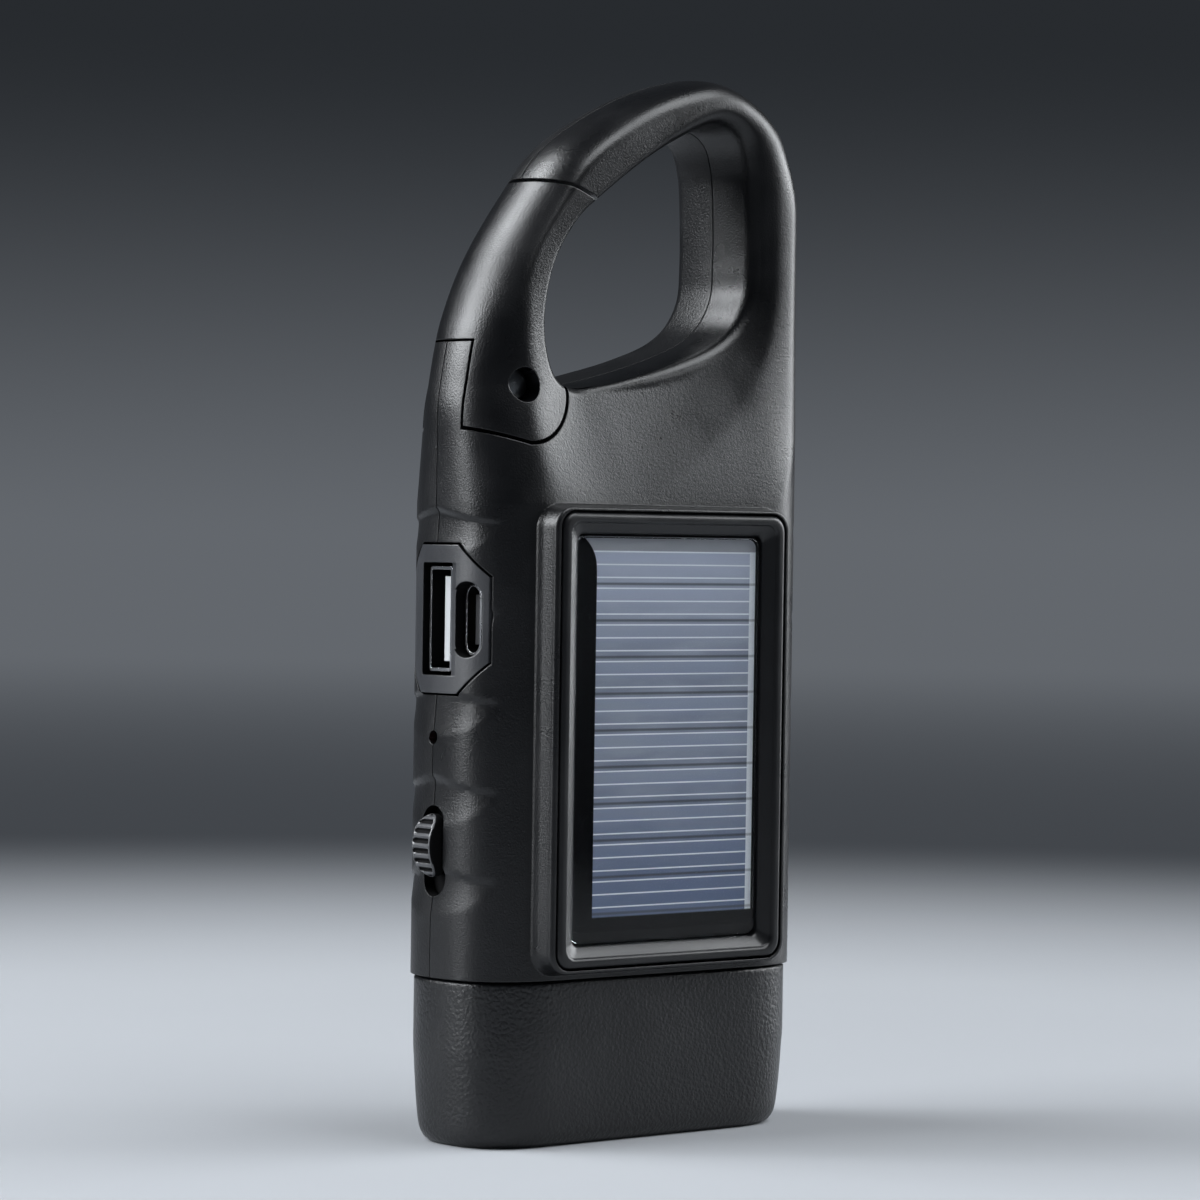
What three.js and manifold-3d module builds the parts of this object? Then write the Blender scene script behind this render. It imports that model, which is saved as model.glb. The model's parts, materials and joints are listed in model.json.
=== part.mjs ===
// Hand crank flashlight: a two-part shell with a solar panel, a carrying hook with a sprung gate,
// a light head at the foot and a folding crank on the back. Millimetres, +Z up, the panel faces -Y.
import * as THREE from "three";
import { mergeVertices } from "three/addons/utils/BufferGeometryUtils.js";
import Module from "manifold-3d";

const wasm = await Module();
wasm.setup();

// Shell
const halfWidth = 27.7;
const headHeight = 21.1;
const shoulderHeight = 88;
const archHeight = 48.1;
const frontDepth = 11.5;
const rearDepth = 11.2;
const sideRound = 13;
const wall = 1.8;
const gap = 0.3;
const seam = 0.3;
const overrun = 6;
const frontPower = 2.6;
const rearPower = 2.2;

// Hook and gate
const hookDepth = 7.5;
const gateSideDepth = 8.5;
const rimRound = 1.2;
const scoopSlopeShare = 0.258;
const spineSlopeShare = 0.138;
const holeDraftShare = 0.95;
const sideBlendShare = 1.2;
const limbMiddleShare = 0.825;
const pinInset = 7.3;
const pinHeight = 95.2;
const pinRadius = 1.2;
const pinHeadRadius = 1.9;
const pinHeadThick = 1;
const pinRecess = 1.4;
const pinRecessRadius = 2.2;
const gateFootRadius = 7;
const gateLength = 26.4;
const gateGap = 0.5;
const gateHeel = 1.9;
const gateFootArc = [-90, 15];
const gateTipArc = [50, 140];
const lugHalf = 4;
const lugRadius = 5.4;
const lugTop = 5.3;
const lugStem = 3.8;
const gateSpringRadius = 2.9;
const gateSpringWire = 0.7;
const gateSpringTurns = 3;

// Grip scallops
const scallopPitch = 11.15;
const scallopFirst = 32.1;
const scallopDepth = 0.4;
const scallopHalf = 3.3;
const scallopReach = 9;
const scallopCount = 5;

// Solar panel
const bezelWidth = 37;
const bezelHeight = 56.7;
const bezelBottom = 22.7;
const bezelThick = 2.3;
const bezelProud = 0.3;
const bezelRound = 2;
const bezelSlope = 1.1;
const bezelSlopeWidth = 1.6;
const panelProud = 2.4;
const panelLip = 0.7;
const panelDraft = 0.5;
const windowSideBorder = 3.05;
const windowEndBorder = 2.6;
const windowRound = 1;
const boardThick = 1;
const boardLap = 1.1;
const cellSideMargin = 2.2;
const cellEndMargin = 3;
const cellThick = 0.3;
const cellGap = 0.1;
const coverThick = 0.9;
const shelfThick = 1.5;

// Ports on the left side
const portHeight = 65.9;
const portPlateHeight = 18.5;
const portPlateFront = 8;
const portPlateRear = 7;
const portPlateFlat = 10.6;
const portPlateThick = 3.2;
const usbAWidth = 13.1;
const usbADepth = 4.6;
const usbALength = 13;
const usbASheet = 0.4;
const usbAInset = 1;
const usbCInset = 1.9;
const usbATongue = 1.8;
const usbATongueWidth = 10.6;
const mouthSpare = 0.5;
const usbCWidth = 8.9;
const usbCDepth = 3.2;
const usbCLength = 7;
const usbCSheet = 0.35;
const usbCTongue = 0.8;
const usbCTongueWidth = 6.2;
const usbCOffset = 5.4;

// Status lamp and slide switch
const lampHeight = 51.1;
const lampRadius = 0.85;
const lampBody = 1.5;
const lampBodyLength = 3;
const switchHeight = 36.9;
const switchSlotLength = 11.4;
const switchSlotWidth = 4.4;
const switchButtonLength = 7.9;
const switchRise = 0.7;
const switchTravel = 2.2;
const switchProud = 1.8;
const switchNeck = 2.4;
const switchRib = 0.3;
const switchRibs = 7;
const switchBodyLength = 13;
const switchBodyDepth = 3.4;
const switchBodyThick = 4.6;

// Boards and battery
const mainBoardTop = 77.5;
const mainBoardBottom = 32;
const mainBoardClear = 8.1;
const mainBoardThick = 1;
const batteryWidth = 30;
const batteryHeight = 44;
const batteryThick = 4.2;
const batteryBottom = 30;

// Crank
const crankHeight = 46;
const shaftRadius = 3;
const bushWall = 1.6;
const bushFlange = 1.6;
const bushFlangeThick = 1;
const armThick = 4.6;
const armClear = 0.5;
const hubRadius = 10;
const armLength = 38;
const armWidth = 14.4;
const knobRadius = 3.5;
const knobLength = 16;
const knobCapThick = 1;
const knobCapRadius = 3.7;
const spindleRadius = 1.4;
const stemHalf = 2.4;
const stemWidth = 7;
const hingePinRadius = 0.9;
const crankScrewHead = 3;
const crankScrewHeadThick = 1.6;
const crankScrewRadius = 1.2;
const crankScrewLength = 8;

// Gear train, worked in modules
const driveModule = 0.7;
const driveTeeth = 40;
const idlerPinionTeeth = 10;
const idlerModule = 0.6;
const idlerTeeth = 32;
const rotorTeeth = 10;
const gearThick = 2;
const gearGap = 0.5;
const idlerAngle = 60;
const rotorAngle = 75;
const toothShares = { tip: 0.34, root: 1.5, head: 0.9, foot: 1.2 };
const axleRadius = 0.8;
const idlerAxleBore = 1.1;
const gearPlateThick = 1.4;
const gearPlateBorder = 2.5;
const postRadius = 1.8;
const generatorRadius = 9;
const generatorDepth = 4.4;
const generatorWall = 0.8;
const coilInner = 5.7;
const magnetRadius = 5.1;
const magnetThick = 2.6;

// Light head
const headInset = 0.45;
const headWall = 3.6;
const headFlange = 1.4;
const spigotHeight = 3;
const spigotWall = 1.4;
const lensRecess = 2.6;
const lensThick = 1.8;
const lensRingHeight = 1.4;
const lensRingWall = 1.3;
const reflectorFlange = 1;
const ledCount = 3;
const cupSpare = 1.85;
const cupRadius = 6.2;
const cupThroat = 3.1;
const cupWall = 0.7;
const cupBellyShare = 0.86;
const cupBellyHeightShare = 0.4;
const ledRadius = 2.5;
const ledHeight = 6;
const ledBoardThick = 1.2;

// Shell screws
const screwRadius = 1.1;
const screwHead = 2.1;
const screwHeadThick = 1.4;
const screwRecess = 2.6;
const screwBoss = 3;
const screwFrontGrip = 6;

// Resolution, in counts
const sideSteps = 27;
const archSteps = 2;
const inwardSteps = 11;
const ringSteps = 8;
const roundSegments = 20;
const smallSegments = 12;
const halfSegments = 5;
const cornerSegments = 3;
const domeSteps = 4;
const mergeWithin = 1e-4;

// Outline of the arch and of the loop hole inside it, matched point for point. Each is written as
// shares: across in half widths, up in arch heights above the shoulder.
const archShares = [
  [-1, 0], [-1, 0.09], [-0.982, 0.167], [-0.955, 0.25], [-0.92, 0.327], [-0.8, 0.485], [-0.585, 0.667],
  [-0.415, 0.783], [-0.069, 0.906], [0.227, 0.973], [0.477, 1], [0.646, 0.975], [0.848, 0.894],
  [0.942, 0.792], [0.993, 0.69], [1, 0.52], [1, 0.36], [1, 0.22], [1, 0.13], [1, 0.06], [1, 0],
];
const holeShares = [
  [0, 0.193], [-0.26, 0.158], [-0.437, 0.148], [-0.53, 0.18], [-0.59, 0.3], [-0.538, 0.466], [-0.4, 0.59],
  [-0.278, 0.649], [0, 0.76], [0.2, 0.822], [0.415, 0.871], [0.5, 0.868], [0.585, 0.835], [0.63, 0.765],
  [0.645, 0.678], [0.65, 0.5], [0.635, 0.41], [0.56, 0.335], [0.437, 0.281], [0.22, 0.231], [0, 0.193],
];
const holeCentreShare = [0.03, 0.5];
// Inset of the head's side at heights, in shares of the inset at its foot and of its height.
const headTaper = 2.2;
const headTaperShares = [[0, 1], [0.035, 0.6], [0.1, 0.36], [0.25, 0.2], [0.5, 0.05], [0.6, 0], [1, 0]];

// Sizes that follow from those above
const top = shoulderHeight + archHeight;
const halfSeam = seam / 2;
const pinX = pinInset - halfWidth;
const windowWidth = bezelWidth - windowSideBorder * 2;
const windowHeight = bezelHeight - windowEndBorder * 2;
const cellWidth = windowWidth - cellSideMargin * 2;
const cellHeight = windowHeight - cellEndMargin * 2;
const headInside = headInset + headWall;
const ledPitch = halfWidth - headInside - gap - cupRadius - cupWall - cupSpare;
const panelFront = -(frontDepth + panelProud);
const blockHalf = bezelWidth / 2 + gap + panelLip;
const blockBottom = bezelBottom - gap - panelLip;
const blockTop = bezelBottom + bezelHeight + gap + panelLip;
const panelMiddle = bezelBottom + bezelHeight / 2;
const bezelFront = panelFront - bezelProud;
const bezelBack = bezelFront + bezelThick;
const boardFront = bezelBack + gap;
const boardBack = boardFront + boardThick;
const shelfFront = boardBack + gap;
const shelfBack = shelfFront + shelfThick;
const cellBack = boardFront - cellGap;
const coverBack = cellBack - cellThick - cellGap;
const pocketHalf = bezelWidth / 2 + gap;
const cavityHalf = halfWidth - wall;
const cavityTop = shoulderHeight - wall;
const rearInside = rearDepth - wall;
const driveLayer = rearInside - gearGap - gearThick;
const idlerLayer = driveLayer - gearGap - gearThick;
const gearPlateRear = idlerLayer - gearGap;
const gearPlateFront = gearPlateRear - gearPlateThick;
const generatorRear = gearPlateFront - gap;
const generatorFront = generatorRear - generatorDepth;
const boardPlaneRear = -(usbADepth / 2 + gap);
const boardPlaneFront = boardPlaneRear - mainBoardThick;
const idlerDistance = (driveModule * (driveTeeth + idlerPinionTeeth)) / 2;
const rotorDistance = (idlerModule * (idlerTeeth + rotorTeeth)) / 2;
const away = (from, degrees, distance) => {
  const turn = THREE.MathUtils.degToRad(degrees);
  return [from[0] + distance * Math.cos(turn), from[1] + distance * Math.sin(turn)];
};
const crankCentre = [0, crankHeight];
const idlerCentre = away(crankCentre, idlerAngle, idlerDistance);
const rotorCentre = away(idlerCentre, rotorAngle, rotorDistance);
const gatePin = [pinX, pinHeight];
const loopMiddle = [holeCentreShare[0] * halfWidth, shoulderHeight + holeCentreShare[1] * archHeight];
const armFront = rearDepth + bushFlangeThick + gap + armClear;
const armBack = armFront + armThick;
const knobY = (armFront + armBack) / 2;
const hingeHeight = crankHeight + armLength;
const bossHalf = halfWidth - screwBoss * 2;
const bossLow = headHeight + spigotHeight + screwBoss - gap;
const bossHigh = cavityTop - screwBoss - wall;
const screwPlaces = [
  [-bossHalf, bossLow],
  [bossHalf, bossLow],
  [-bossHalf, bossHigh],
  [bossHalf, bossHigh],
  [halfWidth * limbMiddleShare, shoulderHeight + archHeight / 2],
];

// Materials
const finish = (color, roughness, metalness = 0) =>
  new THREE.MeshStandardMaterial({ color, roughness, metalness });
const shellBlack = finish(0x1c1d20, 0.55);
const headBlack = finish(0x17181a, 0.7);
const bezelBlack = finish(0x202125, 0.45);
const trimBlack = finish(0x121316, 0.5);
const steel = finish(0xb9bcc2, 0.3, 1);
const darkSteel = finish(0x6b6e74, 0.4, 1);
const copper = finish(0xb0703a, 0.45, 1);
const white = finish(0xe6e7e8, 0.5);
const nylon = finish(0xdedbd0, 0.5);
const boardGreen = finish(0x1f5a3a, 0.5);
const cellBlue = finish(0x59627a, 0.3);
const clear = finish(0xdfe6ee, 0.08);
const mirror = finish(0xcfd3d8, 0.12, 1);
const batteryFilm = finish(0x9aa0a8, 0.35);
const redClear = finish(0x3a1012, 0.2);

// Solids
const solid = (geometry) => {
  const flat = geometry.index ? geometry.toNonIndexed() : geometry.clone();
  flat.deleteAttribute("normal");
  flat.deleteAttribute("uv");
  const merged = mergeVertices(flat, mergeWithin);
  const index = merged.index.array;
  const faces = Array.from({ length: index.length / 3 }, (unused, i) => index.slice(i * 3, i * 3 + 3));
  const kept = faces.filter(([a, b, c]) => a !== b && b !== c && c !== a);
  return new wasm.Manifold(
    new wasm.Mesh({
      numProp: 3,
      vertProperties: merged.attributes.position.array,
      triVerts: new Uint32Array(kept.flatMap((face) => [...face])),
    }),
  );
};
const geometryOf = (body) => {
  const mesh = body.getMesh();
  const geometry = new THREE.BufferGeometry();
  geometry.setAttribute("position", new THREE.BufferAttribute(mesh.vertProperties, 3));
  geometry.setIndex(new THREE.BufferAttribute(mesh.triVerts, 1));
  return geometry;
};
const sum = (...bodies) => bodies.flat().reduce((all, one) => all.add(one));

// An outline drawn in X and Z, carried along Y from front to rear.
const slab = (shape, front, rear, segments = smallSegments) => {
  const depth = rear - front;
  const made = new THREE.ExtrudeGeometry(shape, { depth, bevelEnabled: false, curveSegments: segments });
  return solid(made.rotateX(Math.PI / 2).translate(0, rear, 0));
};
// An outline drawn in Y and Z, carried along X.
const sideSlab = (shape, left, right) => {
  const depth = right - left;
  const made = new THREE.ExtrudeGeometry(shape, { depth, bevelEnabled: false, curveSegments: halfSegments });
  return solid(made.rotateX(Math.PI / 2).rotateZ(Math.PI / 2).translate(left, 0, 0));
};
const block = (low, high) => {
  const size = high.map((value, i) => value - low[i]);
  const middle = high.map((value, i) => (value + low[i]) / 2);
  return solid(new THREE.BoxGeometry(...size).translate(...middle));
};
const rodY = (radius, centre, front, rear, segments = roundSegments) => {
  const made = new THREE.CylinderGeometry(radius, radius, rear - front, segments);
  return solid(made.translate(centre[0], (front + rear) / 2, centre[1]));
};
const rodX = (radius, y, z, left, right, segments = smallSegments) => {
  const made = new THREE.CylinderGeometry(radius, radius, right - left, segments);
  return solid(made.rotateZ(Math.PI / 2).translate((left + right) / 2, y, z));
};
const rodZ = (radius, x, y, low, high, segments = roundSegments) => {
  const made = new THREE.CylinderGeometry(radius, radius, high - low, segments);
  return solid(made.rotateX(Math.PI / 2).translate(x, y, (low + high) / 2));
};
const polygon = (points) => new THREE.Shape(points.map(([x, y]) => new THREE.Vector2(x, y)));
const roundedBox = (width, height, radius, x = 0, y = 0) => {
  const [w, h, r] = [width / 2, height / 2, radius];
  const shape = new THREE.Shape();
  shape.absarc(x + w - r, y - h + r, r, -Math.PI / 2, 0);
  shape.absarc(x + w - r, y + h - r, r, 0, Math.PI / 2);
  shape.absarc(x - w + r, y + h - r, r, Math.PI / 2, Math.PI);
  shape.absarc(x - w + r, y - h + r, r, Math.PI, Math.PI * 1.5);
  shape.closePath();
  return shape;
};
const arcPoints = (centre, radius, from, to, steps) =>
  Array.from({ length: steps + 1 }, (unused, i) => away(centre, from + ((to - from) * i) / steps, radius));

// Outer form of the shell. Rays run in from the outline to the loop hole, or to the centre line
// below it, and each point on a ray is lifted to the front and to the rear surface.
const curveOf = (shares) =>
  new THREE.CatmullRomCurve3(
    shares.map(([x, z]) => new THREE.Vector3(x * halfWidth, shoulderHeight + z * archHeight, 0)),
    false,
    "centripetal",
  );
const rays = (() => {
  const outer = curveOf(archShares);
  const inner = curveOf(holeShares);
  const count = (archShares.length - 1) * archSteps;
  const holeFoot = inner.getPoint(0).y;
  const side = Array.from({ length: sideSteps }, (unused, i) => {
    const share = i / sideSteps;
    const level = headHeight + (shoulderHeight - headHeight) * share;
    return { level, centre: headHeight + (holeFoot - headHeight) * share };
  });
  const edge = (across) => ({ level, centre }) =>
    ({ outer: [across * halfWidth, level], inner: [0, centre], hole: false });
  const up = side.map(edge(-1));
  const arch = Array.from({ length: count + 1 }, (unused, i) => {
    const [a, b] = [outer.getPoint(i / count), inner.getPoint(i / count)];
    return { outer: [a.x, a.y], inner: [b.x, b.y], hole: true };
  });
  const down = side.map(edge(1)).reverse();
  return [...up, ...arch, ...down];
})();
const toSegment = ([px, pz], [ax, az], [bx, bz]) => {
  const [dx, dz] = [bx - ax, bz - az];
  const along = ((px - ax) * dx + (pz - az) * dz) / (dx * dx + dz * dz || 1);
  const share = Math.min(1, Math.max(0, along));
  return Math.hypot(px - ax - dx * share, pz - az - dz * share);
};
const toOutline = (point, line) =>
  line.slice(1).reduce((least, next, i) => Math.min(least, toSegment(point, line[i], next)), Infinity);
const outerLine = rays.map((ray) => ray.outer);
const holeLine = rays.filter((ray) => ray.hole).map((ray) => ray.inner);
const clampShare = (value) => Math.min(1, Math.max(0, value));

const superRound = (inward, depth, power) => {
  const share = 1 - Math.min(inward, sideRound) / sideRound;
  return depth * (1 - share ** power) ** (1 / power);
};
// Depth of the side's rounding: full in the body, less on the gate's side of the hook.
const sideDepthAt = ([x, z], depth) => {
  const across = clampShare((x + halfWidth / 2) / (halfWidth * sideBlendShare));
  const up = clampShare((z - blockTop) / (pinHeight - blockTop));
  return depth + (gateSideDepth - depth) * up * (1 - across);
};
// Depth of the front face: a scoop that rises away from the loop hole, cut by the spine's plane.
const faceDepthAt = (point, fromHole) => {
  const scoop = hookDepth + scoopSlopeShare * fromHole;
  const spine = frontDepth - spineSlopeShare * (point[1] - blockTop);
  return Math.max(hookDepth, Math.min(scoop, spine));
};
const rearFaceAt = (point) => {
  const up = clampShare((point[1] - shoulderHeight) / hookDepth);
  return rearDepth + (hookDepth - rearDepth) * up;
};
const rimDrop = (fromHole) => {
  const inward = rimRound - Math.min(fromHole, rimRound);
  return rimRound - Math.sqrt(Math.max(0, rimRound ** 2 - inward ** 2));
};
// Depth of a finger scallop on the side at a height, fading out towards the face.
const scallopAt = (height, depth) => {
  const turn = Math.round((height - scallopFirst) / scallopPitch);
  if (turn < 0 || turn >= scallopCount) return 0;
  const half = scallopHalf * Math.sqrt(clampShare(1 - (depth / scallopReach) ** 2));
  const off = Math.abs(height - scallopFirst - turn * scallopPitch);
  return half > 0 && off < half ? scallopDepth * (1 - (off / half) ** 2) : 0;
};

const outerForm = (() => {
  const shares = Array.from({ length: inwardSteps + 1 }, (unused, i) => {
    const share = i / inwardSteps;
    return share ** 2 * (1 - share) + share * share;
  });
  const holeEdge = (ray, draft) => {
    if (!ray.hole) return ray.inner;
    return ray.inner.map((value, i) => loopMiddle[i] + (value - loopMiddle[i]) * draft);
  };
  const surface = (front) =>
    rays.map((ray) => {
      const inner = holeEdge(ray, front ? 1 : holeDraftShare);
      return shares.map((share) => {
        const flat = ray.outer.map((value, i) => value + (inner[i] - value) * share);
        const inward = toOutline(flat, outerLine);
        const fromHole = share === 1 && ray.hole ? 0 : toOutline(flat, holeLine);
        const onAxis = share === 1 && !ray.hole;
        const side = front
          ? superRound(inward, sideDepthAt(flat, frontDepth), frontPower)
          : superRound(inward, sideDepthAt(flat, rearDepth), rearPower);
        const face = front ? faceDepthAt(flat, fromHole) : rearFaceAt(flat);
        const depth = Math.min(side, face) - (onAxis ? 0 : rimDrop(fromHole));
        const dip = scallopAt(flat[1], Math.min(depth, scallopReach)) * (inward < sideRound ? 1 : 0);
        const x = flat[0] - Math.sign(flat[0]) * Math.min(dip, Math.abs(flat[0]));
        return [x, front ? -depth : depth, flat[1]];
      });
    });
  const [front, rear] = [surface(true), surface(false)];
  const corners = [];
  const face = (a, b, c) => corners.push(...a, ...b, ...c);
  const quad = (a, b, c, d) => {
    face(a, b, c);
    face(a, c, d);
  };
  const last = inwardSteps;
  rays.slice(1).forEach((unused, i) => {
    for (let k = 0; k < last; k += 1) {
      quad(front[i][k], front[i][k + 1], front[i + 1][k + 1], front[i + 1][k]);
      quad(rear[i][k], rear[i + 1][k], rear[i + 1][k + 1], rear[i][k + 1]);
    }
    if (rays[i].hole && rays[i + 1].hole)
      quad(front[i][last], rear[i][last], rear[i + 1][last], front[i + 1][last]);
  });
  for (let k = 0; k < last; k += 1) {
    quad(front[0][k], rear[0][k], rear[0][k + 1], front[0][k + 1]);
    const end = rays.length - 1;
    quad(front[end][k], front[end][k + 1], rear[end][k + 1], rear[end][k]);
  }
  const geometry = new THREE.BufferGeometry();
  geometry.setAttribute("position", new THREE.Float32BufferAttribute(corners, 3));
  return solid(geometry);
})();

const beyond = top + overrun;
const half = (front) =>
  front
    ? block([-beyond, -beyond, -beyond], [beyond, -halfSeam, beyond])
    : block([-beyond, halfSeam, -beyond], [beyond, beyond, beyond]);

// A closed body through rings of equal count, each end closed by a fan.
const loft = (rings) => {
  const corners = [];
  const middleOf = (ring) => [0, 1, 2].map((i) => ring.reduce((all, p) => all + p[i], 0) / ring.length);
  rings.slice(1).forEach((upper, r) => {
    const lower = rings[r];
    lower.forEach((unused, i) => {
      const j = (i + 1) % lower.length;
      corners.push(...lower[i], ...lower[j], ...upper[j], ...lower[i], ...upper[j], ...upper[i]);
    });
  });
  const close = (ring, flip) => {
    const middle = middleOf(ring);
    ring.forEach((unused, i) => {
      const [a, b] = [ring[i], ring[(i + 1) % ring.length]];
      corners.push(...middle, ...(flip ? b : a), ...(flip ? a : b));
    });
  };
  close(rings[0], true);
  close(rings[rings.length - 1], false);
  const geometry = new THREE.BufferGeometry();
  geometry.setAttribute("position", new THREE.Float32BufferAttribute(corners, 3));
  return solid(geometry);
};
// The shell's level section, drawn in by an inset, as a ring at a height.
const section = (inset, height) => {
  const [width, round] = [halfWidth - inset, sideRound - inset];
  const corner = (across, back) =>
    Array.from({ length: ringSteps + 1 }, (unused, i) => {
      const turn = ((across === back ? i : ringSteps - i) * Math.PI) / 2 / ringSteps;
      const power = back > 0 ? rearPower : frontPower;
      const depth = (back > 0 ? rearDepth : frontDepth) - inset;
      const x = width - round + round * clampShare(Math.cos(turn)) ** (2 / power);
      return [across * x, back * depth * clampShare(Math.sin(turn)) ** (2 / power), height];
    });
  const ring = [...corner(1, 1), ...corner(-1, 1), ...corner(-1, -1), ...corner(1, -1)];
  return ring;
};
const sectionSlab = (inset, low, high) => loft([section(inset, low), section(inset, high)]);
// A rounded panel outline whose size changes with depth, from front to rear.
const panelLoft = (levels) =>
  loft(
    levels.map(([width, height, radius, y]) =>
      roundedBox(width, height, radius, 0, panelMiddle)
        .getPoints(cornerSegments)
        .slice(0, -1)
        .reverse()
        .map((point) => [point.x, y, point.y]),
    ),
  );
const panelSlab = (width, height, radius, front, rear) =>
  slab(roundedBox(width, height, radius, 0, panelMiddle), front, rear, cornerSegments);

// Gate cut: the foot turns about the pin, the tip is an arc about it, so both run free.
const gateOutline = (grow) => {
  const foot = gateFootRadius + grow;
  const run = (halfWidth + overrun + pinX) / (halfWidth + pinX);
  return polygon([
    [-(halfWidth + overrun), pinHeight - foot + gateHeel * run],
    ...arcPoints(gatePin, foot, ...gateFootArc, smallSegments),
    loopMiddle,
    ...arcPoints(gatePin, gateLength + grow, ...gateTipArc, smallSegments * 2),
  ]);
};
const lug = (grow) => {
  const [front, rear] = [-(lugHalf + grow), lugHalf + grow];
  const low = pinHeight - gateFootRadius - gateGap - overrun;
  return sum(
    rodY(lugRadius + grow, gatePin, front, rear),
    block([-beyond, front, low], [pinX, rear, pinHeight + lugTop + grow]),
    block([pinX - lugRadius, front, low], [pinX + lugStem, rear, pinHeight]),
  );
};
const gateClear = slab(gateOutline(gateGap), -beyond, beyond).subtract(lug(0));
const gateSlot = lug(gap).add(
  block([-beyond, -(lugHalf + gap), 0], [pinX + gateFootRadius + gateGap, lugHalf + gap, pinHeight]),
);
const pinHeadFront = -(hookDepth - pinRecess + pinHeadThick / 2);
const gate = outerForm
  .intersect(slab(gateOutline(0), -beyond, beyond))
  .subtract(gateSlot)
  .subtract(rodY(pinRadius + gap / 2, gatePin, -beyond, hookDepth - pinHeadThick))
  .subtract(rodY(pinRecessRadius, gatePin, -beyond, pinHeadFront + pinHeadThick + gap / 2));
const gatePinBody = sum(
  rodY(pinHeadRadius, gatePin, pinHeadFront, pinHeadFront + pinHeadThick),
  rodY(pinRadius, gatePin, pinHeadFront, hookDepth - pinHeadThick - gap),
);
const springPocket = rodY(gateSpringRadius + gateSpringWire, gatePin, -lugHalf / 2, lugHalf / 2);
const gateSpring = (() => {
  const pitch = (lugHalf - gateSpringWire * 2 - gap) / gateSpringTurns;
  class Coil extends THREE.Curve {
    getPoint(share) {
      const turn = share * gateSpringTurns * Math.PI * 2;
      const y = (share - 1 / 2) * gateSpringTurns * pitch;
      const reach = gateSpringRadius - gateSpringWire / 2;
      return new THREE.Vector3(pinX + reach * Math.cos(turn), y, pinHeight + reach * Math.sin(turn));
    }
  }
  const wire = new THREE.Shape().absarc(0, 0, gateSpringWire / 2, 0, Math.PI * 2);
  const made = new THREE.ExtrudeGeometry(wire, {
    extrudePath: new Coil(),
    steps: gateSpringTurns * smallSegments,
    curveSegments: cornerSegments,
    bevelEnabled: false,
  });
  return solid(made);
})();

// Ports: an octagon across the left side, flush with it.
const portOctagon = (grow) => {
  const [tall, flat] = [portPlateHeight / 2 + grow, portPlateFlat / 2 + grow / 2];
  const [front, rear] = [-(portPlateFront + grow), portPlateRear + grow];
  const cut = tall - flat;
  return polygon([
    [front, portHeight - flat], [front + cut, portHeight - tall], [rear - cut, portHeight - tall],
    [rear, portHeight - flat], [rear, portHeight + flat], [rear - cut, portHeight + tall],
    [front + cut, portHeight + tall], [front, portHeight + flat],
  ]);
};
const stadium = (y, z, width, length) => {
  const [r, run] = [width / 2, (length - width) / 2];
  const shape = new THREE.Shape();
  shape.absarc(y, z + run, r, 0, Math.PI);
  shape.absarc(y, z - run, r, Math.PI, Math.PI * 2);
  shape.closePath();
  return shape;
};
const portBack = -(halfWidth - portPlateThick);
const portCut = sideSlab(portOctagon(gap), -beyond, portBack + wall * 2);
const usbABox = (grow) => {
  const [half, tall] = [usbADepth / 2 + grow, usbAWidth / 2 + grow];
  return polygon([
    [-half, portHeight - tall], [half, portHeight - tall],
    [half, portHeight + tall], [-half, portHeight + tall],
  ]);
};
const usbCY = -usbCOffset;
const portPlate = outerForm
  .intersect(sideSlab(portOctagon(0), -beyond, portBack))
  .subtract(sideSlab(usbABox(mouthSpare), -beyond, beyond))
  .subtract(sideSlab(stadium(usbCY, portHeight, usbCDepth + gap * 2, usbCWidth + gap * 2), -beyond, beyond));
const usbALeft = -(halfWidth - usbAInset);
const usbCLeft = -(halfWidth - usbCInset);
const cupX = (outer, inner, left, right, floor) =>
  sideSlab(outer, left, right).subtract(sideSlab(inner, left - overrun, right - floor));
const usbAShell = cupX(usbABox(0), usbABox(-usbASheet), usbALeft, usbALeft + usbALength, usbASheet);
const usbATongueBody = block(
  [usbALeft + usbASheet * 2, -usbADepth / 2 + usbASheet + gap, portHeight - usbATongueWidth / 2],
  [
    usbALeft + usbALength - usbASheet - gap,
    -usbADepth / 2 + usbASheet + gap + usbATongue,
    portHeight + usbATongueWidth / 2,
  ],
);
const usbCShell = cupX(
  stadium(usbCY, portHeight, usbCDepth, usbCWidth),
  stadium(usbCY, portHeight, usbCDepth - usbCSheet * 2, usbCWidth - usbCSheet * 2),
  usbCLeft,
  usbCLeft + usbCLength,
  usbCSheet,
);
const usbCTongueBody = block(
  [usbCLeft + usbCSheet * 2, usbCY - usbCTongue / 2, portHeight - usbCTongueWidth / 2],
  [usbCLeft + usbCLength - usbCSheet - gap, usbCY + usbCTongue / 2, portHeight + usbCTongueWidth / 2],
);

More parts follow.
